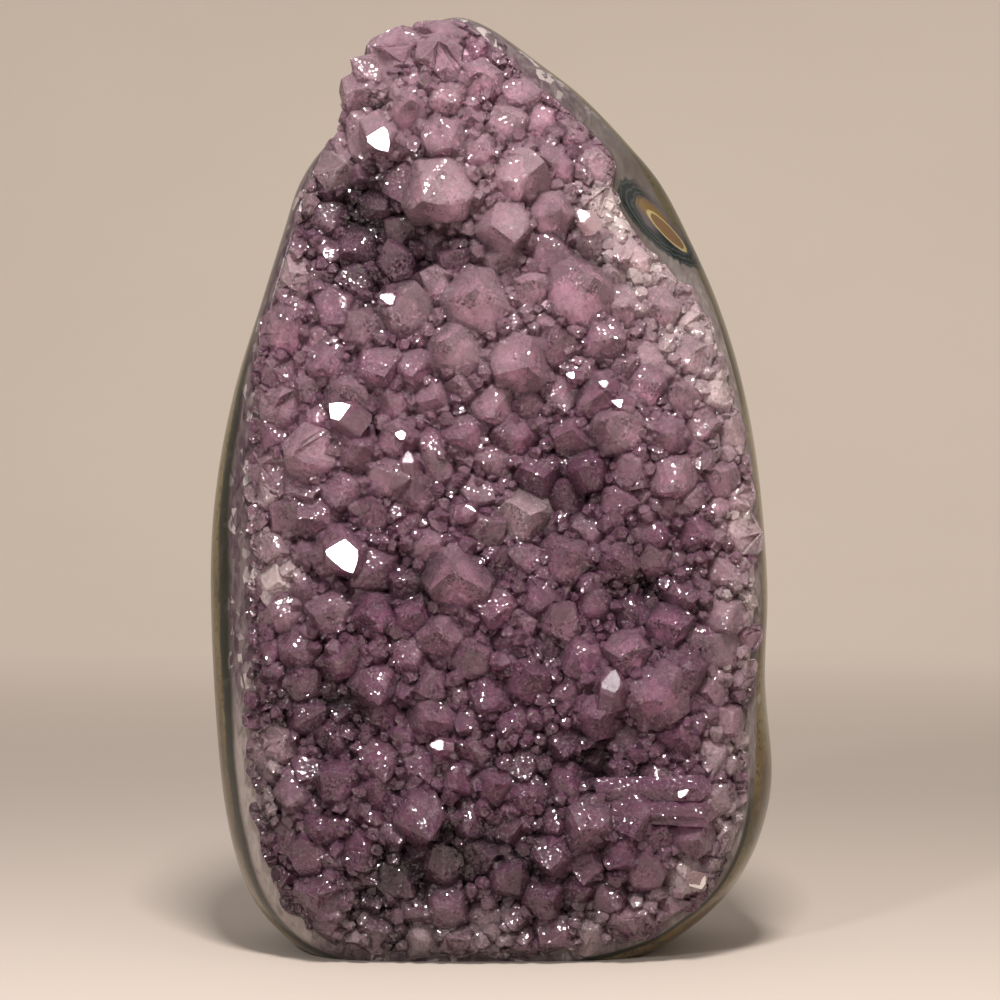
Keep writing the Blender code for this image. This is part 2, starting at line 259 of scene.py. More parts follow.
def catmull_rom(rows: np.ndarray, count: int) -> np.ndarray:
    """The closed curve through the rows, each coordinate a cubic between two rows.

    Args:
        rows: One row of coordinates for each point that the curve goes through.
        count: Points between each two rows.

    Returns:
        The curve's points, one row each.
    """
    at = np.arange(len(rows) * count) / count
    first = at.astype(int)
    t = (at - first)[:, None]
    before, start, end, after = (rows[(first + step) % len(rows)] for step in (-1, 0, 1, 2))
    return 0.5 * (
        2 * start
        + (end - before) * t
        + (2 * before - 5 * start + 4 * end - after) * t**2
        + (3 * start - before - 3 * end + after) * t**3
    )


def unit_rows(rows: np.ndarray) -> np.ndarray:
    """The rows, each divided by its length."""
    return rows / np.linalg.norm(rows, axis=1)[:, None]


def ramp_between(values: np.ndarray, start: float, end: float) -> np.ndarray:
    """0 up to the start and 1 past the end, with a straight slope between them."""
    return np.clip((values - start) / (end - start), 0, 1)


def bell(points: np.ndarray, place: tuple[float, float], radius: float) -> np.ndarray:
    """A Gaussian of the distance from a place: 1 there, and 1 / e at the radius."""
    return np.exp(-((points - place) ** 2).sum(axis=1) / radius**2)


def nearest_on(ring: np.ndarray, points: np.ndarray) -> tuple[np.ndarray, np.ndarray]:
    """How far points lie inside a closed ring, and where the ring is nearest to them.

    Args:
        ring: The ring's points, as x and z.
        points: The points, as x and z.

    Returns:
        Each point's distance to the ring, positive inside it, and the nearest place on the ring.
    """
    start, end = ring, np.roll(ring, -1, axis=0)
    along = end - start
    from_start = points[:, None, :] - start
    share = np.clip((from_start * along).sum(axis=2) / (along**2).sum(axis=1), 0, 1)
    gaps = np.linalg.norm(from_start - share[..., None] * along, axis=2)
    best = gaps.argmin(axis=1)
    rows = np.arange(len(points))
    x, z = points[:, None, 0], points[:, None, 1]
    spans = (start[:, 1] > z) != (end[:, 1] > z)
    rise = np.where(along[:, 1] == 0, 1.0, along[:, 1])
    crossing = start[:, 0] + (z - start[:, 1]) * along[:, 0] / rise
    inside = (spans & (x < crossing)).sum(axis=1) % 2 == 1
    place = start[best] + share[rows, best][:, None] * along[best]
    return np.where(inside, gaps[rows, best], -gaps[rows, best]), place


def waves(points: np.ndarray, length: float, seed: int, count: int = 10) -> np.ndarray:
    """Smooth unevenness: a sum of sine waves that run in seeded random directions.

    Args:
        points: The points, one row of coordinates each.
        length: The mean wave length, in the points' unit.
        seed: The seed of the directions and phases.
        count: How many waves are added up.

    Returns:
        One value for each point, mostly between -1 and 1.
    """
    rng = np.random.default_rng(seed)
    directions = unit_rows(rng.normal(size=(count, points.shape[1])))
    numbers = 2 * math.pi / (length * rng.uniform(0.6, 1.6, count))
    phases = rng.uniform(0, 2 * math.pi, count)
    total = np.sin(points @ (directions * numbers[:, None]).T + phases).sum(axis=1)
    return total / math.sqrt(2 * count)


@dataclass(frozen=True)
class StoneForm:
    """The stone's outlines and depths in millimetres, the same as in the frame's solids."""

    height: float = 204.0
    rim_depth: float = -28.0
    girth_depth: float = -8.0
    back_depth: float = 42.0
    top_thinning: float = 0.45
    middle: tuple[float, float] = (0.0, 84.0)
    back_squareness: float = 0.56
    back_unevenness: float = 1.1
    ledge_height: float = 1.8
    dome_height: float = 6.5
    dome_reach: float = 24.0
    curve_steps: int = 16
    slope_reach: float = 1.5

    def outlines(self, count: int) -> tuple[np.ndarray, np.ndarray]:
        """The girth and the rim as count points each, evenly spaced along the girth.

        Args:
            count: How many points each outline gets.

        Returns:
            The girth's and the rim's points, as x and z.
        """
        dense = catmull_rom(np.array(OUTLINES), self.curve_steps)
        closed = np.vstack([dense, dense[:1]])
        steps = np.linalg.norm(np.diff(closed[:, :2], axis=0), axis=1)
        along = np.concatenate([[0.0], np.cumsum(steps)])
        at = along[-1] * np.arange(count) / count
        even = np.stack([np.interp(at, along, column) for column in closed.T], axis=1)
        return even[:, :2], even[:, 2:]

    def thinned(self, depth: np.ndarray | float, z: np.ndarray) -> np.ndarray:
        """A depth given at the base, as it is at height z on the thinning stone."""
        return depth * (1 - self.top_thinning * z / self.height)

    def back_swell(self, x: np.ndarray, z: np.ndarray) -> np.ndarray:
        """The slow swells of the back, three sine waves added up, in millimetres outwards."""
        return self.back_unevenness * (
            np.sin(0.085 * x + 0.06 * z + 0.7)
            + 0.7 * np.sin(0.13 * z - 0.05 * x + 2.1)
            + 0.5 * np.sin(0.21 * x - 0.09 * z)
        )

    def crust_height(self, edge: np.ndarray, points: np.ndarray) -> np.ndarray:
        """The crust's height in front of the bond: a low dome, sine of the way in from the edge, with
        Gaussian swells and hollows added.

        Args:
            edge: The rim's points, as x and z.
            points: The places on the face, as x and z.

        Returns:
            The height at each place.
        """
        inwards = np.clip(nearest_on(edge, points)[0] / self.dome_reach, 0, 1)
        height = self.ledge_height + self.dome_height * np.sin(0.5 * math.pi * inwards)
        for x, z, radius, swell in RELIEF:
            height += swell * bell(points, (x, z), radius) * np.minimum(1, 3 * inwards)
        return np.maximum(height, self.ledge_height)

    def crust_slopes(self, edge: np.ndarray, points: np.ndarray) -> np.ndarray:
        """How steeply the crust rises along x and z, from heights a little to each side of the points."""
        steps = self.slope_reach * np.eye(2)
        after = [self.crust_height(edge, points + step) for step in steps]
        before = [self.crust_height(edge, points - step) for step in steps]
        return (np.stack(after, axis=1) - np.stack(before, axis=1)) / (2 * self.slope_reach)

    def frame_shift(self) -> np.ndarray:
        """The move that carries this form's own axes to the frame's, found from the matrix solid's box."""
        low = np.array(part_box("stone_matrix")[0]) / MM
        girth, rim = self.outlines(1024)
        front = self.thinned(self.rim_depth, rim[:, 1]).min()
        return np.array([low[0] - girth[:, 0].min(), low[1] - front, 0.0])


class PieceMesh:
    """Points, triangles and point values gathered for one visible piece, in millimetres."""

    def __init__(self) -> None:
        """Starts with nothing gathered."""
        self.points: list[np.ndarray] = []
        self.faces: list[np.ndarray] = []
        self.values: dict[str, list[np.ndarray]] = {}
        self.total = 0

    def add(self, points: np.ndarray, faces: np.ndarray | None = None, **values: np.ndarray) -> np.ndarray:
        """Adds points, the faces between them and the values they carry.

        Args:
            points: The points, as rows of x, y and z.
            faces: The faces, as rows of numbers of those points, if there are any yet.
            **values: For each named attribute, one value a point.

        Returns:
            The numbers that the points have in the whole piece.
        """
        numbers = np.arange(self.total, self.total + len(points))
        self.points.append(points)
        if faces is not None:
            self.faces.append(faces + self.total)
        for name, column in values.items():
            self.values.setdefault(name, []).append(column)
        self.total += len(points)
        return numbers

    def join(self, faces: np.ndarray) -> None:
        """Adds faces between points that were added before."""
        self.faces.append(faces)

    def to_object(self, name: str, shift: np.ndarray, material: bpy.types.Material) -> bpy.types.Object:
        """Makes the piece's object, at the origin and with its place in its mesh.

        Args:
            name: The object's name.
            shift: The move from the stone's own axes to the frame's, in millimetres.
            material: The piece's material.

        Returns:
            The new object.
        """
        points = (np.vstack(self.points) + shift) * MM
        sizes = np.concatenate([np.full(len(group), group.shape[1]) for group in self.faces])
        corners = np.concatenate([group.ravel() for group in self.faces])
        data = bpy.data.meshes.new(name)
        data.vertices.add(len(points))
        data.vertices.foreach_set("co", points.ravel())
        data.loops.add(len(corners))
        data.loops.foreach_set("vertex_index", corners.astype(np.int32))
        data.polygons.add(len(sizes))
        starts = np.concatenate([[0], np.cumsum(sizes)[:-1]])
        data.polygons.foreach_set("loop_start", starts.astype(np.int32))
        data.update(calc_edges=True)
        for title, columns in self.values.items():
            layer = data.attributes.new(title, "FLOAT", "POINT")
            layer.data.foreach_set("value", np.concatenate(columns).astype(np.float32))
        data.materials.append(material)
        data.shade_flat()
        piece = bpy.data.objects.new(name, data)
        bpy.context.scene.collection.objects.link(piece)
        return piece


def ring_faces(near: np.ndarray, far: np.ndarray) -> np.ndarray:
    """The four-sided faces between two closed loops of as many points each."""
    return np.stack([near, far, np.roll(far, -1), np.roll(near, -1)], axis=1)


# Finishes


class NodeGraph:
    """A material's node tree, with short ways to add the nodes that the finishes share."""

    def __init__(self, name: str) -> None:
        """Makes the material and finds its surface shader.

        Args:
            name: The material's name.
        """
        self.material = bpy.data.materials.new(name)
        self.material.use_nodes = True
        self.tree = self.material.node_tree
        self.surface = self.tree.nodes["Principled BSDF"]

    def node(self, kind: str, **settings: object) -> bpy.types.Node:
        """Adds one node and sets its properties."""
        made = self.tree.nodes.new(kind)
        for key, value in settings.items():
            setattr(made, key, value)
        return made

    def feed(self, socket: bpy.types.NodeSocket, value: object) -> None:
        """Sets a socket to a constant, or links it where the value is another node's socket."""
        if isinstance(value, bpy.types.NodeSocket):
            self.tree.links.new(value, socket)
        else:
            socket.default_value = value

    def math(self, operation: str, *values: object) -> bpy.types.NodeSocket:
        """One arithmetic step.

        Args:
            operation: The Math node's operation.
            *values: Its inputs, numbers or sockets.

        Returns:
            The result's socket.
        """
        made = self.node("ShaderNodeMath", operation=operation)
        for socket, value in zip(made.inputs, values):
            self.feed(socket, value)
        return made.outputs[0]

    def times(self, first: object, second: object) -> bpy.types.NodeSocket:
        """The product of two values."""
        return self.math("MULTIPLY", first, second)

    def plus(self, first: object, second: object) -> bpy.types.NodeSocket:
        """The sum of two values."""
        return self.math("ADD", first, second)

    def minus(self, first: object, second: object) -> bpy.types.NodeSocket:
        """The first value less the second."""
        return self.math("SUBTRACT", first, second)

    def mix(self, share: object, first: object, second: object) -> bpy.types.NodeSocket:
        """A blend of two colours.

        Args:
            share: How much of the second colour is taken.
            first: The first colour, or its socket.
            second: The second colour, or its socket.

        Returns:
            The blended colour's socket.
        """
        made = self.node("ShaderNodeMix", data_type="RGBA")
        self.feed(made.inputs[0], share)
        self.feed(made.inputs[6], (*first, 1.0) if isinstance(first, tuple) else first)
        self.feed(made.inputs[7], (*second, 1.0) if isinstance(second, tuple) else second)
        return made.outputs[2]

    def ramp(self, value: object, *stops: tuple[float, tuple[float, float, float]]) -> bpy.types.NodeSocket:
        """A colour that runs through stops as a value goes from 0 to 1.

        Args:
            value: The value's socket.
            *stops: Each stop's place and colour.

        Returns:
            The colour's socket.
        """
        made = self.node("ShaderNodeValToRGB")
        elements = made.color_ramp.elements
        while len(elements) < len(stops):
            elements.new(0.5)
        for element, (place, colour) in zip(elements, stops):
            element.position = place
            element.color = (*colour, 1.0)
        self.feed(made.inputs[0], value)
        return made.outputs[0]

    def step(self, value: object, low: float, high: float) -> bpy.types.NodeSocket:
        """A smooth step from 0 to 1 as the value goes from low to high."""
        made = self.node("ShaderNodeMapRange", interpolation_type="SMOOTHSTEP")
        for socket, number in zip(made.inputs, (value, low, high, 0.0, 1.0)):
            self.feed(socket, number)
        return made.outputs[0]

    def over(
        self, ground: object, colour: object, value: object, low: float, high: float, share: float = 1.0
    ) -> bpy.types.NodeSocket:
        """A colour laid over a ground where a value is high.

        Args:
            ground: The colour below, or its socket.
            colour: The colour on top, or its socket.
            value: The value's socket.
            low: Where the top colour begins to show; above high, it shows where the value is small.
            high: Where it shows in full.
            share: How much of it shows there.

        Returns:
            The colour's socket.
        """
        amount = self.step(value, low, high)
        return self.mix(amount if share == 1.0 else self.times(amount, share), ground, colour)

    def noise(
        self, where: object, scale: float, detail: float = 3.0, twist: float = 0.0
    ) -> bpy.types.NodeSocket:
        """Noise between 0 and 1.

        Args:
            where: The coordinates' socket.
            scale: Waves a metre.
            detail: How many finer waves are added.
            twist: How strongly the noise is distorted.

        Returns:
            The value's socket.
        """
        made = self.node("ShaderNodeTexNoise")
        self.feed(made.inputs["Vector"], where)
        made.inputs["Scale"].default_value = scale
        made.inputs["Detail"].default_value = detail
        made.inputs["Distortion"].default_value = twist
        return made.outputs["Fac"]

    def cells(self, where: object, scale: float) -> bpy.types.Node:
        """A Voronoi texture's node, in scale cells a metre."""
        made = self.node("ShaderNodeTexVoronoi")
        self.feed(made.inputs["Vector"], where)
        made.inputs["Scale"].default_value = scale
        return made

    def stretched(self, where: object, scale: tuple[float, float, float]) -> bpy.types.NodeSocket:
        """The coordinates with each axis scaled, to draw a pattern out along one of them."""
        made = self.node("ShaderNodeMapping")
        self.feed(made.inputs["Vector"], where)
        made.inputs["Scale"].default_value = scale
        return made.outputs[0]

    def attribute(self, name: str) -> bpy.types.NodeSocket:
        """A point value that the piece's mesh carries."""
        return self.node("ShaderNodeAttribute", attribute_name=name).outputs["Fac"]

    def object_place(self) -> bpy.types.NodeSocket:
        """The place on the object, in metres."""
        return self.node("ShaderNodeTexCoord").outputs["Object"]

    def bump(
        self, height: object, distance: float, strength: float, under: object = None
    ) -> bpy.types.NodeSocket:
        """A bump from a height.

        Args:
            height: The height's socket.
            distance: How far a height of 1 stands out, in metres.
            strength: The share of the bump that shows.
            under: A bump below this one, if there is one.

        Returns:
            The normal's socket.
        """
        made = self.node("ShaderNodeBump")
        made.inputs["Distance"].default_value = distance
        made.inputs["Strength"].default_value = strength
        self.feed(made.inputs["Height"], height)
        if under is not None:
            self.feed(made.inputs["Normal"], under)
        return made.outputs[0]

    def finish(self, **inputs: object) -> bpy.types.Material:
        """Feeds the surface shader's named inputs and gives the material.

        Args:
            **inputs: Values or sockets, with _ for the blanks in an input's name.

        Returns:
            The material.
        """
        for name, value in inputs.items():
            value = (*value, 1.0) if name == "Base_Color" and isinstance(value, tuple) else value
            self.feed(self.surface.inputs[name.replace("_", " ")], value)
        return self.material


@dataclass(frozen=True)
class AmethystFinish:
    """Clear to milky violet quartz: painted shade darkens it low down, paler where white quartz grew, with
    faint veils.
    The patterns are given in waves or cells a metre.
    """

    name: str = "amethyst_quartz"
    # Dark violet, used for the painted shade between the crystals and for fine dark specks in the quartz
    painted_shade_and_speck: tuple[float, float, float] = (0.075, 0.042, 0.060)
    violet: tuple[float, float, float] = (0.37, 0.155, 0.27)
    lilac: tuple[float, float, float] = (0.71, 0.445, 0.565)
    milk: tuple[float, float, float] = (0.90, 0.79, 0.76)
    clearness: float = 0.82
    refraction: float = 1.544
    cloud_waves: float = 170.0
    veil_waves: float = 640.0
    grain_waves: float = 1500.0
    sparkle_waves: float = 260.0
    step_cells: float = 2300.0
    step_tilt: float = 1.15
    ripple: float = 0.15
    ripple_depth: float = 0.00016

    def build(self) -> bpy.types.Material:
        """Makes the material."""
        graph = NodeGraph(self.name)
        where = graph.object_place()
        cloud = graph.noise(where, self.cloud_waves, 3.0, 0.6)
        veil = graph.noise(where, self.veil_waves, 3.0, 1.2)
        grain = graph.noise(where, self.grain_waves, 3.0, 1.5)
        pale = graph.attribute("pale")
        # This attribute is random brightness with painted light and shade added: lighter high up, darker in
        # hollows and low down
        tone = graph.plus(graph.times(graph.attribute("tone"), 0.55), graph.times(cloud, 0.6))
        body = graph.ramp(tone, (0.22, self.violet), (0.78, self.lilac))
        body = graph.over(body, self.milk, veil, 0.56, 0.74, 0.5)
        body = graph.mix(pale, body, self.milk)
        # Painted shade: the shade attribute blends in the dark colour towards each crystal's foot and in
        # the valleys between crystals
        body = graph.mix(graph.attribute("shade"), body, self.painted_shade_and_speck)
        body = graph.over(body, self.painted_shade_and_speck, grain, 0.48, 0.34, 0.15)
        body = graph.over(body, self.milk, grain, 0.53, 0.66, 0.35)
        clear = graph.minus(1.0, graph.times(pale, 0.25))
        return graph.finish(
            Base_Color=body,
            Roughness=graph.plus(0.04, graph.times(cloud, 0.16)),
            IOR=self.refraction,
            Transmission_Weight=graph.times(self.clearness, clear),
            Normal=graph.bump(veil, self.ripple_depth, self.ripple, self.sparkle(graph, where)),
        )

    def sparkle(self, graph: NodeGraph, where: object) -> bpy.types.NodeSocket:
        """The tiny growth steps on the faces: small cells, tilted each on its own, strongly in patches.

        Args:
            graph: The material's nodes.
            where: The coordinates' socket.

        Returns:
            The normal's socket.
        """
        cells = graph.cells(where, self.step_cells)
        tilt = graph.node("ShaderNodeVectorMath", operation="SUBTRACT")
        graph.feed(tilt.inputs[0], cells.outputs["Color"])
        tilt.inputs[1].default_value = (0.5, 0.5, 0.5)
        patch = graph.step(graph.noise(where, self.sparkle_waves, 2.0), 0.46, 0.66)
        share = graph.times(graph.plus(graph.times(patch, 0.75), 0.25), self.step_tilt)
        scaled = graph.node("ShaderNodeVectorMath", operation="SCALE")
        graph.feed(scaled.inputs[0], tilt.outputs[0])
        graph.feed(scaled.inputs["Scale"], share)
        total = graph.node("ShaderNodeVectorMath", operation="ADD")
        graph.feed(total.inputs[0], graph.node("ShaderNodeNewGeometry").outputs["Normal"])
        graph.feed(total.inputs[1], scaled.outputs[0])
        unit = graph.node("ShaderNodeVectorMath", operation="NORMALIZE")
        graph.feed(unit.inputs[0], total.outputs[0])
        return unit.outputs[0]


@dataclass(frozen=True)
class BedFinish:
    """The fine dark quartz that the crystals stand on."""

    name: str = "quartz_bed"
    dark: tuple[float, float, float] = (0.19, 0.105, 0.145)
    light: tuple[float, float, float] = (0.56, 0.36, 0.44)
    milk: tuple[float, float, float] = (0.6, 0.5, 0.5)
    refraction: float = 1.544
    cloud_waves: float = 260.0
    grain_cells: float = 700.0
    grain_depth: float = 0.0006

    def build(self) -> bpy.types.Material:
        """Makes the material."""
        graph = NodeGraph(self.name)
        where = graph.object_place()
        cells = graph.cells(where, self.grain_cells)
        cloud = graph.noise(where, self.cloud_waves, 4.0)
        body = graph.ramp(cloud, (0.3, self.dark), (0.75, self.light))
        body = graph.mix(graph.attribute("pale"), body, self.milk)
        return graph.finish(
            Base_Color=body,
            Roughness=0.3,
            IOR=self.refraction,
            Normal=graph.bump(cells.outputs["Distance"], self.grain_depth, 0.8),
        )


@dataclass(frozen=True)
class AgateEye:
    """The small agate eye cut open at the upper right: a lens inside a larger ring, both turned alike."""

    centre: tuple[float, float] = (38.2, 156.5)
    turn: float = -45.3
    core: tuple[float, float] = (5.5, 1.15)
    ring_offset: tuple[float, float] = (-2.0, 0.2)
    ring: tuple[float, float] = (12.5, 4.4)
    brown: tuple[float, float, float] = (0.085, 0.048, 0.022)
    gold: tuple[float, float, float] = (0.085, 0.052, 0.018)
    cream: tuple[float, float, float] = (0.20, 0.16, 0.07)
    taupe: tuple[float, float, float] = (0.050, 0.038, 0.040)
    teal_black: tuple[float, float, float] = (0.005, 0.007, 0.007)
    teal: tuple[float, float, float] = (0.030, 0.036, 0.034)
    band_count: float = 48.0

    def paint(
        self, graph: NodeGraph, x: object, z: object, wobble: object, ground: object
    ) -> bpy.types.NodeSocket:
        """Paints the eye over a ground colour, as a function of the place on the face.

        Args:
            graph: The material's nodes.
            x: The place across, in the stone's own millimetres.
            z: The place upwards.
            wobble: A small unevenness for the rings.
            ground: The colour outside the eye.

        Returns:
            The colour with the eye.
        """
        turned = graph.node("ShaderNodeVectorRotate", rotation_type="Z_AXIS")
        place = graph.node("ShaderNodeCombineXYZ")
        graph.feed(place.inputs[0], graph.minus(x, self.centre[0]))
        graph.feed(place.inputs[1], graph.minus(z, self.centre[1]))
        graph.feed(turned.inputs["Vector"], place.outputs[0])
        graph.feed(turned.inputs["Angle"], -math.radians(self.turn))
        along = graph.node("ShaderNodeSeparateXYZ")
        graph.feed(along.inputs[0], turned.outputs[0])
        u, v = along.outputs[0], along.outputs[1]
        core = graph.plus(self.oval(graph, u, v, (0.0, 0.0), self.core), wobble)
        ring = graph.plus(self.oval(graph, u, v, self.ring_offset, self.ring), wobble)
        upper = graph.times(graph.step(u, 0.0, -3.5), graph.step(v, -1.4, -0.2))
        inner = graph.mix(graph.times(graph.step(core, 2.3, 1.5), upper), self.taupe, self.gold)
        low_side = graph.times(graph.step(v, -0.9, -1.4), graph.step(u, -4.0, 0.0))
        inner = graph.mix(low_side, inner, self.teal_black)
        bands = graph.math("SINE", graph.times(ring, self.band_count))
        dark_ring = graph.over(self.teal_black, self.teal, bands, 0.2, 0.9, 0.6)
        colour = graph.over(inner, dark_ring, ring, 0.52, 0.68)
        colour = graph.over(colour, self.cream, core, 1.18, 1.08)
        colour = graph.over(colour, self.brown, core, 0.98, 0.90)
        share = graph.times(graph.step(ring, 1.08, 0.96), graph.step(v, 3.6, 1.2))
        return graph.mix(share, ground, colour)

    def oval(
        self, graph: NodeGraph, u: object, v: object, offset: tuple[float, float], half: tuple[float, float]
    ) -> bpy.types.NodeSocket:
        """How far out a place is in an oval: 0 in its middle, 1 on its edge.

        Args:
            graph: The material's nodes.
            u: The place along the oval.
            v: The place across it.
            offset: Where the oval's middle is.
            half: Half its length and half its width.

        Returns:
            The value's socket.
        """
        lengths = (graph.math("DIVIDE", graph.minus(at, middle), reach)
                   for at, middle, reach in zip((u, v), offset, half))
        squares = (graph.math("POWER", length, 2.0) for length in lengths)
        return graph.math("SQRT", graph.plus(*squares))


@dataclass(frozen=True)
class MatrixFinish:
    """The polished section through the geode's wall, in layers behind the crystals: cut quartz, grey
    chalcedony, a dark green line, and the olive basalt of the back. The layers are thinner on the right.
    Depths and places are in millimetres, and patterns in waves or cells a metre.
    """

    name: str = "polished_matrix"
    olive: tuple[float, float, float] = (0.135, 0.105, 0.040)
    brown: tuple[float, float, float] = (0.105, 0.066, 0.028)
    straw: tuple[float, float, float] = (0.17, 0.135, 0.065)
    green_black: tuple[float, float, float] = (0.014, 0.016, 0.010)
    chalcedony: tuple[float, float, float] = (0.125, 0.100, 0.098)
    pearl: tuple[float, float, float] = (0.130, 0.106, 0.102)
    frost: tuple[float, float, float] = (0.235, 0.198, 0.182)
    fleck: tuple[float, float, float] = (0.23, 0.22, 0.17)
    taupe: tuple[float, float, float] = (0.055, 0.046, 0.040)
    white: tuple[float, float, float] = (0.32, 0.28, 0.27)
    violet: tuple[float, float, float] = (0.055, 0.034, 0.044)
    crack: tuple[float, float, float] = (0.018, 0.014, 0.016)
    quartz_end: float = 2.6
    dark_end: float = 5.6
    right_side: tuple[float, float] = (-15.0, 40.0)
    thin_top: tuple[float, float] = (128.0, 152.0)
    front_edge: tuple[float, float] = (15.0, 11.0)
    sway: float = 2.6
    ripple: float = 0.8
    refraction: float = 1.54
    pit_depth: float = 0.0004
    broad_waves: float = 55.0
    fine_waves: float = 420.0
    chip_cells: float = 520.0
    mottle_waves: float = 95.0
    grain_waves: float = 900.0
    bubble_cells: float = 125.0
    pit_cells: float = 240.0

    def build(self, form: StoneForm, shift: np.ndarray) -> bpy.types.Material:
        """Makes the material.

        Args:
            form: The stone's form, for the depth of its layers.
            shift: The move from the stone's own axes to the frame's, in millimetres.

        Returns:
            The material.
        """
        graph = NodeGraph(self.name)
        where = graph.object_place()
        axes = graph.node("ShaderNodeSeparateXYZ")
        graph.feed(axes.inputs[0], where)
        x, y, z = (
            graph.minus(graph.times(axes.outputs[k], 1 / MM), float(shift[k])) for k in range(3)
        )
        slope = form.rim_depth * form.top_thinning / form.height
        depth = graph.plus(y, graph.plus(graph.times(z, slope), -form.rim_depth))
        broad = graph.noise(where, self.broad_waves, 3.0)
        fine = graph.noise(graph.stretched(where, (1.6, 1.6, 0.6)), self.fine_waves, 4.0, 0.8)
        right = graph.step(x, *self.right_side)
        growth = graph.minus(2.4, graph.times(graph.step(z, *self.thin_top), 2.0))
        thinner = graph.plus(1.0, graph.times(right, growth))
        sway = graph.plus(self.swing(graph, broad, self.sway), self.swing(graph, fine, self.ripple))
        layer = graph.plus(graph.times(depth, thinner), sway)
        low_corner = graph.times(graph.step(z, 66.0, 42.0), graph.step(x, -30.0, -42.0))
        grey = graph.over(self.chalcedony, self.pearl, x, 20.0, 45.0)
        grey = graph.mix(low_corner, grey, self.frost)
        grey = graph.over(grey, self.white, fine, 0.46, 0.76, 0.5)
        grey = graph.over(grey, self.violet, fine, 0.48, 0.28, 0.5)
        grey = graph.over(grey, self.taupe, z, 132.0, 160.0, 0.85)
        plain = graph.math("MAXIMUM", graph.step(x, 5.0, 30.0), low_corner)
        colour = graph.mix(plain, self.cut_quartz(graph, where, fine), grey)
        dark = graph.math("MAXIMUM", graph.step(x, 10.0, -10.0), graph.step(z, 48.0, 28.0))
        dark = graph.times(dark, graph.step(layer, self.quartz_end - 0.5, self.quartz_end + 0.9))
        colour = graph.mix(graph.times(dark, 0.92), colour, self.green_black)
        front = graph.step(depth, *self.front_edge)
        wedge = graph.times(graph.step(z, 112.0, 124.0), graph.times(right, front))
        basalt = graph.mix(graph.times(wedge, 0.7), self.basalt(graph, where, broad, z), self.green_black)
        colour = graph.over(colour, basalt, layer, self.dark_end - 0.4, self.dark_end + 1.0)
        eyed = AgateEye().paint(graph, x, z, self.swing(graph, fine, 0.22), colour)
        colour = graph.mix(front, colour, eyed)
        pits = graph.step(graph.cells(where, self.pit_cells).outputs["Distance"], 0.14, 0.05)
        holes = graph.times(pits, graph.step(depth, 14.0, 30.0))
        relief = graph.minus(graph.times(fine, 0.3), holes)
        polish = graph.plus(0.10, graph.times(fine, 0.16))
        sawn_base = graph.times(graph.step(z, 0.3, 0.1), 0.3)
        return graph.finish(
            Base_Color=colour,
            Roughness=graph.plus(polish, sawn_base),
            IOR=self.refraction,
            Specular_IOR_Level=0.3,
            Normal=graph.bump(relief, self.pit_depth, 0.4),
        )

    def swing(self, graph: NodeGraph, noise: object, reach: float) -> bpy.types.NodeSocket:
        """A noise made to swing about 0, over the given reach."""
        return graph.times(graph.minus(noise, 0.5), reach)

    def cut_quartz(self, graph: NodeGraph, where: object, fine: object) -> bpy.types.NodeSocket:
        """The cut crystals next to the druse: violet grey with angular white patches and dark cracks.

        Args:
            graph: The material's nodes.
            where: The coordinates' socket.
            fine: The fine unevenness's socket.

        Returns:
            The colour's socket.
        """
        cells = graph.cells(graph.stretched(where, (1.0, 1.0, 0.7)), self.chip_cells)
        tint = graph.node("ShaderNodeSeparateColor")
        graph.feed(tint.inputs[0], cells.outputs["Color"])
        colour = graph.over(self.violet, self.chalcedony, fine, 0.35, 0.68)
        colour = graph.mix(graph.times(tint.outputs[1], 0.45), colour, self.violet)
        chips = graph.times(graph.step(tint.outputs[0], 0.78, 0.9), graph.step(fine, 0.38, 0.55))
        colour = graph.mix(graph.times(chips, 0.8), colour, self.white)
        gaps = graph.times(graph.step(fine, 0.42, 0.30), graph.step(tint.outputs[2], 0.4, 0.7))
        return graph.mix(graph.times(gaps, 0.85), colour, self.crack)

    def basalt(self, graph: NodeGraph, where: object, broad: object, z: object) -> bpy.types.NodeSocket:
        """The basalt: olive above, browner below, fine grained and mottled, with small filled bubbles.

        Args:
            graph: The material's nodes.
            where: The coordinates' socket.
            broad: The broad unevenness's socket.
            z: The height's socket, in millimetres.

        Returns:
            The colour's socket.
        """
        low = graph.times(graph.step(z, 105.0, 60.0), graph.step(broad, 0.3, 0.6))
        colour = graph.mix(low, self.olive, self.brown)
        mottle = graph.noise(graph.stretched(where, (1.0, 1.0, 0.7)), self.mottle_waves, 6.0, 0.8)
        colour = graph.over(colour, self.straw, mottle, 0.48, 0.66, 0.75)
        colour = graph.over(colour, self.green_black, mottle, 0.46, 0.34, 0.5)
        grains = graph.noise(where, self.grain_waves, 2.0)
        colour = graph.over(colour, self.green_black, grains, 0.5, 0.34, 0.5)
        bubbles = graph.cells(where, self.bubble_cells)
        inside = graph.step(bubbles.outputs["Distance"], 0.17, 0.12)
        filled = graph.times(inside, graph.step(broad, 0.46, 0.56))
        return graph.mix(graph.times(filled, 0.75), colour, self.fleck)


# The matrix


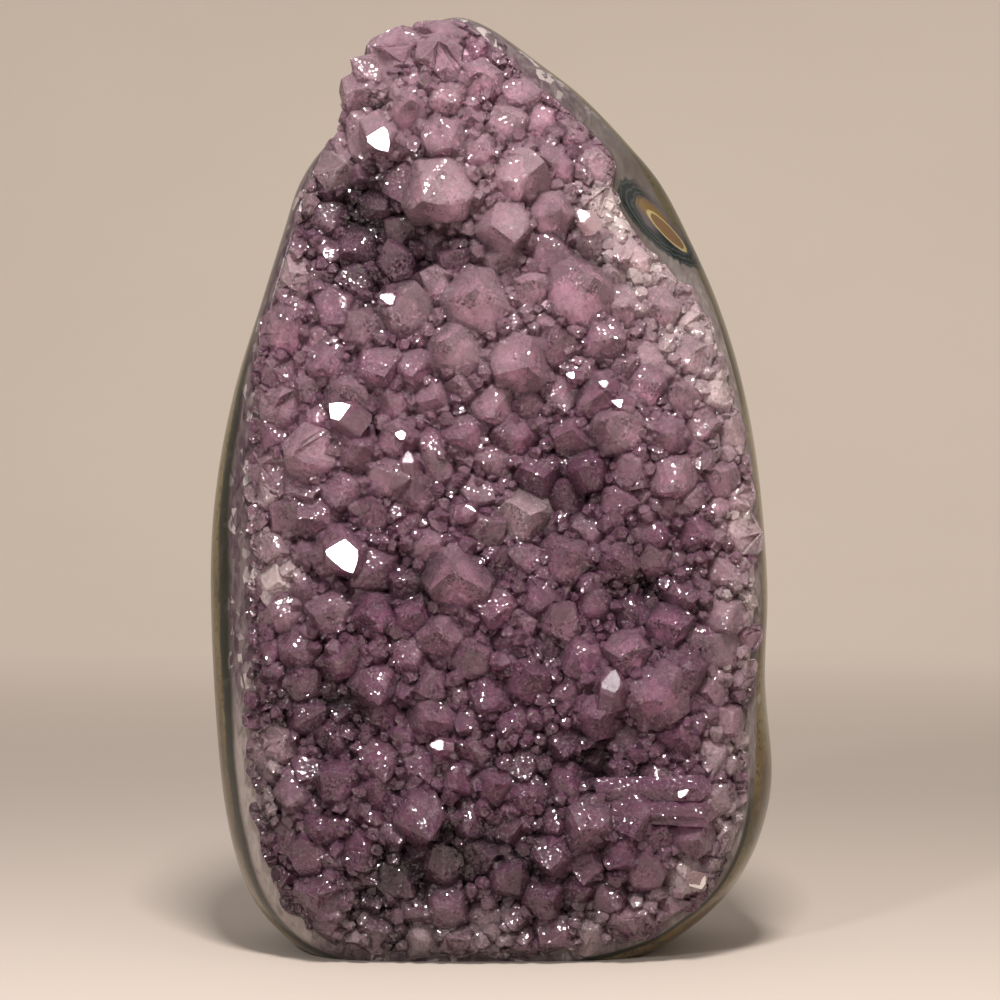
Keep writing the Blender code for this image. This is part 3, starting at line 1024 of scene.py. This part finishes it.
@dataclass
class MatrixShell:
    """The polished matrix as one closed shell, cut flat below."""

    form: StoneForm
    shift: np.ndarray
    ring_points: int = 420
    side_steps: int = 26
    back_steps: int = 64

    def rings(self) -> list[np.ndarray]:
        """The shell's rings: a quarter ellipse from rim to girth, then a blunt dome to the back's middle,
        whose radius is a power of the turn's cosine and whose depth is a power of its sine.

        Returns:
            The rings from the rim to the back, as rows of x, y and z.
        """
        form = self.form
        girth, rim = form.outlines(self.ring_points)
        made = []
        for turn in np.linspace(0, 0.5 * math.pi, self.side_steps):
            ring = rim + (girth - rim) * math.sin(turn)
            depth = form.rim_depth + (form.girth_depth - form.rim_depth) * (1 - math.cos(turn))
            made.append(np.column_stack([ring[:, 0], form.thinned(depth, ring[:, 1]), ring[:, 1]]))
        for share in np.linspace(0, 1, self.back_steps + 1)[1:-1]:
            turn = 0.5 * math.pi * (1 - (1 - share) ** 1.7) * 0.9995
            ring = form.middle + (girth - form.middle) * math.cos(turn) ** form.back_squareness
            reach = math.sin(turn) ** form.back_squareness
            depth = form.girth_depth + (form.back_depth - form.girth_depth) * reach
            depth = form.thinned(depth, ring[:, 1]) + form.back_swell(ring[:, 0], ring[:, 1]) * reach
            made.append(np.column_stack([ring[:, 0], depth, ring[:, 1]]))
        return made

    def build(self, material: bpy.types.Material) -> bpy.types.Object:
        """Makes the shell, closed in front by a flat bond and below by the sawn base.

        Args:
            material: The polished stone's material.

        Returns:
            The shell's object.
        """
        mesh = PieceMesh()
        loops = [mesh.add(ring) for ring in self.rings()]
        for near, far in zip(loops, loops[1:]):
            mesh.join(ring_faces(near, far))
        mesh.join(loops[0][None, :])
        mesh.join(loops[-1][None, ::-1])
        piece = mesh.to_object("polished_matrix", self.shift, material)
        self.saw_base(piece.data)
        piece.data.shade_smooth()
        piece.data.set_sharp_from_angle(angle=math.radians(45))
        return piece

    def saw_base(self, data: bpy.types.Mesh) -> None:
        """Cuts off what is below the plane z = 0 and fills the cut.

        Args:
            data: The shell's mesh.
        """
        edit = bmesh.new()
        edit.from_mesh(data)
        parts = edit.verts[:] + edit.edges[:] + edit.faces[:]
        cut = bmesh.ops.bisect_plane(
            edit, geom=parts, plane_co=(0, 0, 0), plane_no=(0, 0, -1), clear_outer=True
        )
        edges = [edge for edge in cut["geom_cut"] if isinstance(edge, bmesh.types.BMEdge)]
        bmesh.ops.edgeloop_fill(edit, edges=edges)
        bmesh.ops.recalc_face_normals(edit, faces=edit.faces)
        edit.to_mesh(data)
        edit.free()


# The crystals


class Edges(Enum):
    """How the edges between a crystal's faces are made."""

    SHARP = 0.0
    WORN = 0.035


@dataclass(frozen=True)
class QuartzHabit:
    """The shape of one quartz crystal of radius 1: six prism faces and six faces that meet in a tip."""

    prism_reach: float = 0.866
    face_tilt: float = 51.8
    stand: float = 0.6
    root: float = 0.7
    uneven: float = 0.13

    def planes(self, rng: np.random.Generator, edges: Edges) -> tuple[np.ndarray, np.ndarray]:
        """The flat faces as planes.

        Args:
            rng: Where this crystal's irregularities come from.
            edges: How its edges are made.

        Returns:
            The planes' outward normals, and their distances from the origin.
        """
        turns = np.radians(60 * np.arange(6))
        around = np.stack([np.cos(turns), np.sin(turns), np.zeros(6)], axis=1)
        tilt = math.radians(self.face_tilt)
        sloping = around * math.sin(tilt) + np.array([0, 0, math.cos(tilt)])
        prism = self.prism_reach * (1 + rng.uniform(-self.uneven, self.uneven, 6))
        apex = self.stand + self.prism_reach * math.tan(tilt)
        apexes = apex + rng.uniform(-0.1, 0.1, 6) + np.tile([0.0, rng.uniform(0.0, 0.45)], 3)
        normals = np.vstack([around, sloping, [[0, 0, -1]]])
        reaches = np.concatenate([prism, apexes * math.cos(tilt), [self.root]])
        if edges is Edges.WORN:
            pairs = [(a, b) for a, b in combinations(range(12), 2) if normals[a] @ normals[b] > 0.25]
            first, second = np.array(pairs).T
            between = normals[first] + normals[second]
            length = np.linalg.norm(between, axis=1)
            wear = edges.value * rng.uniform(0.5, 1.5, len(pairs))
            cut = (reaches[first] + reaches[second]) / length - wear
            normals = np.vstack([normals, between / length[:, None]])
            reaches = np.concatenate([reaches, cut])
        return normals, reaches

    def build(self, rng: np.random.Generator, edges: Edges) -> tuple[np.ndarray, np.ndarray]:
        """The crystal's corners, where three planes cross inside all others, and its triangles.

        Args:
            rng: Where this crystal's irregularities come from.
            edges: How its edges are made.

        Returns:
            The corners as rows of x, y and z, and the triangles as rows of corner numbers.
        """
        normals, reaches = self.planes(rng, edges)
        triples = np.array(list(combinations(range(len(normals)), 3)))
        matrices = normals[triples]
        solid = np.abs(np.linalg.det(matrices)) > 1e-4
        crossings = np.linalg.solve(matrices[solid], reaches[triples[solid]][..., None])[..., 0]
        within = (crossings @ normals.T <= reaches + 1e-7).all(axis=1)
        corners = np.unique(np.round(crossings[within], 5), axis=0)
        triangles = []
        for normal, reach in zip(normals, reaches):
            on_face = np.flatnonzero(np.abs(corners @ normal - reach) < 5e-5)
            if len(on_face) < 3:
                continue
            spokes = corners[on_face] - corners[on_face].mean(axis=0)
            across = spokes[np.linalg.norm(spokes, axis=1).argmax()]
            angles = np.arctan2(spokes @ np.cross(normal, across), spokes @ across)
            loop = on_face[np.argsort(angles)]
            fan = np.column_stack([np.full(len(loop) - 2, loop[0]), loop[1:-1], loop[2:]])
            triangles.append(fan)
        return corners, np.vstack(triangles)


def crystal_frames(axes: np.ndarray, rolls: np.ndarray) -> np.ndarray:
    """Turns that carry a crystal's own upright axis to each given axis.

    Args:
        axes: The axes, as unit rows of x, y and z.
        rolls: How far each crystal is turned about its axis, in radians.

    Returns:
        One 3 by 3 matrix for each axis.
    """
    up = np.where(np.abs(axes[:, 2:]) < 0.9, [[0.0, 0.0, 1.0]], [[1.0, 0.0, 0.0]])
    across = unit_rows(np.cross(up, axes))
    other = np.cross(axes, across)
    cos, sin = np.cos(rolls)[:, None], np.sin(rolls)[:, None]
    return np.stack([across * cos + other * sin, other * cos - across * sin, axes], axis=2)


@dataclass
class CrystalCrust:
    """The druse: large and filling crystals, small ones between them, and the bed that they stand on."""

    form: StoneForm
    shift: np.ndarray
    camera: np.ndarray
    lamp: np.ndarray
    seed: int = 11
    fill_radii: tuple[float, ...] = (4.2, 3.7, 3.2, 2.8, 2.4)
    crystal_count: int = 410
    closeness: float = 0.86
    small_pitch: float = 2.1
    small_radii: tuple[float, float] = (0.9, 2.1)
    length_range: tuple[float, float] = (0.85, 1.15)
    pale_range: tuple[float, float] = (0.5, 1.0)
    main_growth: float = 1.32
    mirror_face: tuple[float, float, float] = (0.45, 0.0, 1.1)
    outer_lean: tuple[float, float, float] = (-0.75, -0.5, 0.45)
    shape_count: int = 24
    edge_points: int = 192
    tries: int = 5000
    natural_place: tuple[float, float] = (-26.0, 188.0)
    natural_reach: float = 15.0
    ground_reach: float = 7.0
    bed_middle: tuple[float, float] = (0.0, 95.0)
    bed_rings: int = 90
    edge: np.ndarray = field(init=False)

    def __post_init__(self) -> None:
        """Works out the crust's outline."""
        self.edge = self.form.outlines(self.edge_points)[1]

    def bond(self, z: np.ndarray) -> np.ndarray:
        """The depth of the plane where the crust meets the matrix, at height z."""
        return self.form.thinned(self.form.rim_depth, z)

    def main_sites(self) -> np.ndarray:
        """The places and radii of the main crystals: the large ones, then smaller ones in what is left.

        Returns:
            Rows of x, z and radius.
        """
        rng = np.random.default_rng(self.seed)
        placed = [np.array(row) for row in LARGE_CRYSTALS]
        low, high = self.edge.min(axis=0), self.edge.max(axis=0)
        for radius in self.fill_radii:
            tries = rng.uniform(low, high, (self.tries, 2))
            for point in tries[nearest_on(self.edge, tries)[0] > 0.75 * radius]:
                others = np.array(placed)
                gaps = np.linalg.norm(others[:, :2] - point, axis=1)
                room = gaps - self.closeness * (others[:, 2] + radius)
                if room.min() > 0 and len(placed) < self.crystal_count:
                    placed.append(np.array([*point, radius]))
        return np.array(placed)

    def small_sites(self, main: np.ndarray) -> np.ndarray:
        """The places and radii of small crystals, on a shaken grid and clear of the main crystals' cores.

        Args:
            main: The main crystals, as rows of x, z and radius.

        Returns:
            Rows of x, z and radius.
        """
        rng = np.random.default_rng(self.seed + 5)
        low, high = self.edge.min(axis=0), self.edge.max(axis=0)
        columns = [np.arange(start, end, self.small_pitch) for start, end in zip(low, high)]
        grid = np.stack(np.meshgrid(*columns), axis=-1)
        points = grid.reshape(-1, 2) + rng.uniform(-0.5, 0.5, (grid.size // 2, 2)) * self.small_pitch
        radii = rng.uniform(*self.small_radii, len(points))
        wide_side = ramp_between(points[:, 0], -36, -46) * ramp_between(points[:, 1], 120, 100)
        inside = nearest_on(self.edge, points)[0] > -0.6 - 2.2 * wide_side
        gaps = np.linalg.norm(points[:, None] - main[None, :, :2], axis=2) - 0.72 * main[:, 2]
        keep = inside & (gaps.min(axis=1) > 0)
        return np.column_stack([points, radii])[keep]

    def lean(self, sites: np.ndarray, wildness: np.ndarray, rng: np.random.Generator) -> np.ndarray:
        """Crystal axes: away from the crust's slope, with a random lean.

        Args:
            sites: Rows of x, z and radius.
            wildness: The most random lean of each crystal, as a slope.
            rng: Where the random lean comes from.

        Returns:
            Unit rows of x, y and z.
        """
        slopes = self.form.crust_slopes(self.edge, sites[:, :2])
        leans = -0.6 * slopes + rng.normal(0, 0.5, (len(sites), 2)) * wildness[:, None]
        size = np.linalg.norm(leans, axis=1)
        leans *= (np.minimum(size, 1.1) / size)[:, None]
        return unit_rows(np.column_stack([leans[:, 0], np.full(len(sites), -1.0), leans[:, 1]]))

    def mirror_turns(self, sites: np.ndarray, rng: np.random.Generator) -> np.ndarray:
        """Turns that make one face of each crystal mirror the small lamp to the camera.

        Args:
            sites: Rows of x, z and radius.
            rng: Where the direction of each tip comes from.

        Returns:
            One 3 by 3 matrix for each crystal.
        """
        places = np.column_stack([sites[:, 0], self.bond(sites[:, 1]) - 10.0, sites[:, 1]])
        half = unit_rows(unit_rows(self.camera - places) + unit_rows(self.lamp - places))
        base = crystal_frames(half, rng.uniform(0, 2 * math.pi, len(sites)))
        tilt = math.radians(QuartzHabit().face_tilt)
        # A sloping face's normal is (sin tilt, 0, cos tilt): this turn brings it to the crystal's own z
        cos, sin = math.cos(tilt), math.sin(tilt)
        return base @ np.array([[cos, 0, -sin], [0, 1, 0], [sin, 0, cos]])

    def paleness(self, points: np.ndarray) -> np.ndarray:
        """How milky white the quartz is at places on the face, from 0 to 1."""
        value = np.zeros(len(points))
        for x, z, radius, share in PALE_PLACES:
            value = np.maximum(value, share * bell(points, (x, z), radius))
        return value

    def painted_shade_by_place(self, points: np.ndarray) -> np.ndarray:
        """How much painted shade the quartz gets for where it sits: in the crust's hollows, to the left and
        low down.
        """
        value = 0.8 * np.clip(0.55 - points[:, 1] / 200, 0, 1) * (1 - points[:, 0] / 110)
        for x, z, radius, swell in RELIEF:
            if swell < 0:
                value = value - 0.16 * swell * bell(points, (x, z), 1.1 * radius)
        return np.minimum(value, 1.0)

    def polished(self, points: np.ndarray) -> np.ndarray:
        """Keeps points within the polished outline, and grinds the crust down to a quarter ellipse near it.

        Args:
            points: Rows of x, y and z.

        Returns:
            The points, with those outside moved onto the outline or back onto the ellipse.
        """
        inwards, nearest = nearest_on(self.edge, points[:, [0, 2]])
        x, z = nearest.T
        natural = bell(nearest, self.natural_place, self.natural_reach)
        uneven = 0.9 + 1.6 * waves(nearest, 8.0, 17) + 0.9 * ramp_between(x, 30, 45)
        wide_side = ramp_between(x, -38, -46) * ramp_between(z, 125, 105)
        most_over = 2.2 - 1.2 * ramp_between(z, 125, 145) + 1.6 * wide_side
        over = np.maximum(0, -inwards - np.clip(uneven + most_over - 2.2, 0, most_over) - 3.4 * natural)
        pull = np.where(inwards < 0, over / np.maximum(-inwards, 1e-9), 0)[:, None]
        moved = points.copy()
        moved[:, [0, 2]] += (nearest - points[:, [0, 2]]) * pull
        share = np.clip(1 - inwards / self.ground_reach, 0, 1)
        ellipse = self.ground_reach * np.sqrt(1 - share**2)
        most = 0.8 + ellipse + 1.4 * np.maximum(0, inwards - 4) + 6 * natural
        front = self.bond(moved[:, 2]) - most
        moved[:, 1] = np.maximum(moved[:, 1], front)
        return moved

    def crystals(
        self,
        sites: np.ndarray,
        turns: np.ndarray,
        bases: np.ndarray,
        edges: Edges,
        seed: int,
        habit: QuartzHabit = QuartzHabit(),
    ) -> PieceMesh:
        """Joins crystals into one mesh, from a few dozen shapes that are turned, scaled and put in place.

        Args:
            sites: Rows of x, z and radius.
            turns: One 3 by 3 matrix for each crystal.
            bases: Each crystal's height in front of the bond.
            edges: How the crystals' edges are made.
            seed: The seed of the shapes and of each crystal's length and random brightness.
            habit: The proportions that the shapes share.

        Returns:
            The joined mesh.
        """
        rng = np.random.default_rng(seed)
        shapes = [habit.build(rng, edges) for _ in range(self.shape_count)]
        kinds = rng.integers(0, len(shapes), len(sites))
        lengths = rng.uniform(*self.length_range, len(sites))
        scales = sites[:, 2:3] * np.column_stack([np.ones((len(sites), 2)), lengths])
        tones = rng.uniform(0, 1, len(sites))
        pales = self.paleness(sites[:, :2]) * rng.uniform(*self.pale_range, len(sites))
        # Painted light and shade added to the random brightness: higher crystals lighter, and crystals in
        # hollows, to the left and low down darker
        tones = 0.6 * tones + 0.9 * (sites[:, 1] / self.form.height - 0.4) - self.painted_shade_by_place(sites[:, :2])
        # Larger crystals lighter; painted shade makes the small crystals in the gaps darker
        tones += 0.4 * np.clip((sites[:, 2] - 5.5) / 2.0, 0, 1) - 0.25 * (sites[:, 2] < 2.2)
        feet = np.column_stack([sites[:, 0], self.bond(sites[:, 1]) - bases, sites[:, 1]])
        mesh = PieceMesh()
        for number, (corners, triangles) in enumerate(shapes):
            mine = np.flatnonzero(kinds == number)
            if not len(mine):
                continue
            local = corners[None] * scales[mine, None]
            points = np.einsum("nij,nvj->nvi", turns[mine], local) + feet[mine, None]
            flat = points.reshape(-1, 3)
            face = flat[:, [0, 2]]
            low = self.form.crust_height(self.edge, face)
            height = self.bond(flat[:, 2]) - flat[:, 1]
            # Painted shade, kept as the shade attribute: each crystal darkens towards its foot and into the
            # valleys between crystals, more in hollows and low down, and less where the quartz is milky
            dim = 0.32 + 0.3 * waves(face, 16.0, 29) + 1.15 * self.painted_shade_by_place(face)
            rise = np.repeat(np.maximum(0.8 * sites[mine, 2], 3.4), len(corners))
            milky = np.clip(np.repeat(pales[mine], len(corners)), 0, 1)
            shade = np.clip(dim - (height - low) / rise, 0, 1) * (1 - 0.45 * milky)
            steps = len(corners) * np.arange(len(mine))[:, None, None]
            mesh.add(
                self.polished(flat),
                (triangles[None] + steps).reshape(-1, 3),
                tone=np.repeat(tones[mine], len(corners)),
                pale=milky,
                shade=shade,
            )
        return mesh

    def bed(self) -> PieceMesh:
        """The bed: rings of the outline drawn in towards its middle, at the crust's height less a little,
        with fine waves, and closed at the back.

        Returns:
            The bed's mesh.
        """
        shares = 1 - np.linspace(0, 0.995, self.bed_rings) ** 0.9
        mesh = PieceMesh()
        edge = self.edge
        back = np.column_stack([edge[:, 0], self.bond(edge[:, 1]) + 2.0, edge[:, 1]])
        loops = [mesh.add(back, pale=np.zeros(len(edge)))]
        for share in shares:
            ring = self.bed_middle + (edge - self.bed_middle) * share
            low = self.form.crust_height(edge, ring) - 0.8 + 0.6 * waves(ring, 5.0, 3)
            # The bed also sinks deeper where the painted shade is strongest
            low = low - 2.0 * np.minimum(self.painted_shade_by_place(ring), 1)
            inwards = nearest_on(edge, ring)[0]
            low = np.where(inwards < 2, np.minimum(low, 0.3 + 0.4 * inwards), low)
            points = np.column_stack([ring[:, 0], self.bond(ring[:, 1]) - low, ring[:, 1]])
            loops.append(mesh.add(points, pale=self.paleness(ring)))
        for near, far in zip(loops, loops[1:]):
            mesh.join(ring_faces(far, near))
        mesh.join(loops[0][None, ::-1])
        mesh.join(loops[-1][None, :])
        return mesh

    def build(
        self, quartz: bpy.types.Material, mirror: bpy.types.Material, bed: bpy.types.Material
    ) -> list[bpy.types.Object]:
        """Makes the crust's pieces.

        Args:
            quartz: The crystals' material.
            mirror: The material of the few crystals with quite smooth faces.
            bed: The bed's material.

        Returns:
            The pieces' objects.
        """
        rng = np.random.default_rng(self.seed + 7)
        main = self.main_sites()
        small = self.small_sites(main)
        main[:, 2] *= self.main_growth
        glints = np.array(GLINTS)
        outer = np.array(EDGE_CRYSTALS)
        height = self.form.crust_height
        main_lean = self.lean(main, np.clip(1.3 - 0.11 * main[:, 2], 0.35, 1.1), rng)
        main_turns = crystal_frames(main_lean, rng.uniform(0, 2 * math.pi, len(main)))
        small_lean = self.lean(small, np.full(len(small), 1.0), rng)
        small_turns = crystal_frames(small_lean, rng.uniform(0, 2 * math.pi, len(small)))
        main_base = height(self.edge, main[:, :2]) + rng.uniform(-0.9, -0.4, len(main)) * main[:, 2]
        small_base = height(self.edge, small[:, :2]) + rng.uniform(-0.8, 1.0, len(small))
        small_base -= 0.5 * np.maximum(0, -nearest_on(self.edge, small[:, :2])[0])
        glint_turns = self.mirror_turns(glints, rng)
        face_middle = np.einsum("nij,j->ni", glint_turns, self.mirror_face) * glints[:, 2:]
        glint_base = height(self.edge, glints[:, :2]) + 5.2 + 0.5 * glints[:, 2] + face_middle[:, 1]
        glints[:, :2] -= face_middle[:, [0, 2]]
        outer_lean = unit_rows(self.outer_lean + rng.normal(0, 0.25, (len(outer), 3)))
        outer_turns = crystal_frames(outer_lean, rng.uniform(0, 2 * math.pi, len(outer)))
        outer_base = np.full(len(outer), 3.0)
        lying = np.array(LYING_CRYSTALS)
        lying_turns = crystal_frames(unit_rows(lying[:, 3:]), rng.uniform(0, 2 * math.pi, len(lying)))
        lying_base = height(self.edge, lying[:, :2]) + 0.7
        blocky, slender = QuartzHabit(), QuartzHabit(stand=6.5, uneven=0.08)
        groups = (
            ("main_crystals", main, main_turns, main_base, Edges.WORN, quartz, blocky),
            ("small_crystals", small, small_turns, small_base, Edges.SHARP, quartz, blocky),
            ("glinting_crystals", glints, glint_turns, glint_base, Edges.WORN, mirror, blocky),
            ("edge_crystals", outer, outer_turns, outer_base, Edges.WORN, quartz, blocky),
            ("lying_crystals", lying, lying_turns, lying_base, Edges.WORN, quartz, slender),
        )
        pieces = []
        for number, (name, sites, turns, bases, edges, material, habit) in enumerate(groups):
            mesh = self.crystals(sites, turns, bases, edges, self.seed + 10 + number, habit)
            pieces.append(mesh.to_object(name, self.shift, material))
        floor = self.bed().to_object("quartz_bed", self.shift, bed)
        floor.data.shade_smooth()
        return [*pieces, floor]


# The studio


@dataclass
class Studio:
    """A pale floor that curves up far behind, soft lamps, and the camera at the photograph's angle."""

    shift: np.ndarray
    camera_place: tuple[float, float, float] = (2.0, -652.0, 98.2)
    half_width: float = 105.6
    reference: float = 620.0
    lamp_place: tuple[float, float, float] = (-330.0, -760.0, 420.0)
    floor_radii: tuple[float, ...] = (0.02, 0.3, 0.8, 1.4, 1.8, 2.1, 2.4, 2.7, 3.0, 3.3, 3.6, 3.9)
    floor_flat: float = 1.4
    floor_curve: float = 0.42
    floor_points: int = 128

    def camera(self) -> None:
        """Makes the camera, level and facing the crystals."""
        data = bpy.data.cameras.new("camera")
        data.sensor_width = 36.0
        data.lens = 18.0 * self.reference / self.half_width
        data.clip_start = 0.01
        camera = bpy.data.objects.new("camera", data)
        camera.location = (np.array(self.camera_place) + self.shift) * MM
        camera.rotation_euler = (math.radians(90), 0, 0)
        bpy.context.scene.collection.objects.link(camera)
        bpy.context.scene.camera = camera

    def lamp(self, name: str, place: tuple[float, float, float], size: float, power: float,
             colour: tuple[float, float, float], aim: tuple[float, float, float] = (0.0, 0.0, 0.1)) -> None:
        """Adds one square area lamp.

        Args:
            name: The lamp's name.
            place: Where it stands, in metres.
            size: Its side, in metres.
            power: Its power, in watts.
            colour: Its colour.
            aim: What it points at, in metres.
        """
        data = bpy.data.lights.new(name, "AREA")
        data.shape = "SQUARE"
        data.size = size
        data.energy = power
        data.color = colour
        lamp = bpy.data.objects.new(name, data)
        lamp.location = place
        direction = np.array(aim) - np.array(place)
        pitch = math.acos(-direction[2] / np.linalg.norm(direction))
        heading = math.atan2(direction[1], direction[0]) - 0.5 * math.pi
        lamp.rotation_euler = (pitch, 0, heading)
        bpy.context.scene.collection.objects.link(lamp)

    def floor(self) -> None:
        """Makes the floor, a disc whose far edge curves up: the height is the square of the way past its
        flat part.
        """
        turns = np.linspace(0, 2 * math.pi, self.floor_points, endpoint=False)
        circle = np.column_stack([np.cos(turns), np.sin(turns), np.zeros(self.floor_points)])
        mesh = PieceMesh()
        loops = []
        for radius in self.floor_radii:
            rise = self.floor_curve * max(0.0, radius - self.floor_flat) ** 2
            loops.append(mesh.add((radius * circle + (0.0, 0.0, rise)) / MM))
        for near, far in zip(loops, loops[1:]):
            mesh.join(ring_faces(far, near))
        mesh.join(loops[0][None, :])
        graph = NodeGraph("studio_paper")
        where = graph.object_place()
        tint = graph.ramp(graph.noise(where, 2.0), (0.3, (0.61, 0.53, 0.475)), (0.7, (0.64, 0.56, 0.50)))
        distance = graph.node("ShaderNodeVectorMath", operation="LENGTH")
        graph.feed(distance.inputs[0], where)
        # Painted shade: the floor is darker towards its middle, under the stone
        tint = graph.over(tint, (0.14, 0.12, 0.105), distance.outputs["Value"], 1.3, 0.2, 0.32)
        floor = mesh.to_object("studio_floor", np.zeros(3), graph.finish(Base_Color=tint, Roughness=0.8))
        floor.data.shade_smooth()
        floor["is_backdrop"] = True

    def build(self) -> None:
        """Makes the floor, the lamps, the soft surrounding light and the camera."""
        self.camera()
        self.floor()
        self.lamp("key", (0.02, -0.36, 0.56), 0.11, 5.5, (1.0, 0.95, 0.9), aim=(0.0, -0.02, 0.17))
        self.lamp("fill", (1.1, -1.2, 0.7), 1.2, 5.0, (1.0, 0.95, 0.88))
        self.lamp("glint", tuple((np.array(self.lamp_place) + self.shift) * MM), 0.07, 3.0, (1.0, 1.0, 1.0))
        self.lamp("backdrop", (0.2, 1.0, 1.6), 1.5, 17.5, (1.0, 0.93, 0.83), aim=(0.1, 2.6, 0.9))
        world = bpy.data.worlds.new("studio_light")
        world.use_nodes = True
        background = world.node_tree.nodes["Background"]
        background.inputs["Color"].default_value = (1.0, 0.95, 0.9, 1.0)
        background.inputs["Strength"].default_value = 0.5
        bpy.context.scene.world = world
        bpy.context.scene.view_settings.view_transform = "Standard"


def main() -> None:
    """Builds the matrix, the crust and the studio."""
    logging.basicConfig(level=logging.INFO, format="%(message)s")
    form = StoneForm()
    shift = form.frame_shift()
    studio = Studio(shift)
    studio.build()
    matrix = MatrixShell(form, shift).build(MatrixFinish().build(form, shift))
    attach(matrix, BODY)
    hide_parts("stone_matrix")
    crust = CrystalCrust(form, shift, np.array(studio.camera_place), np.array(studio.lamp_place))
    quartz = AmethystFinish()
    smooth_quartz = AmethystFinish("smooth_amethyst_quartz", step_tilt=0.0, ripple=0.0)
    for piece in crust.build(quartz.build(), smooth_quartz.build(), BedFinish().build()):
        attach(piece, BODY)
        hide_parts("amethyst_crystals")
    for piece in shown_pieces():
        log.info("%s: %d faces", piece.name, len(piece.data.polygons))
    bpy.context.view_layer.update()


if __name__ == "__main__":
    main()
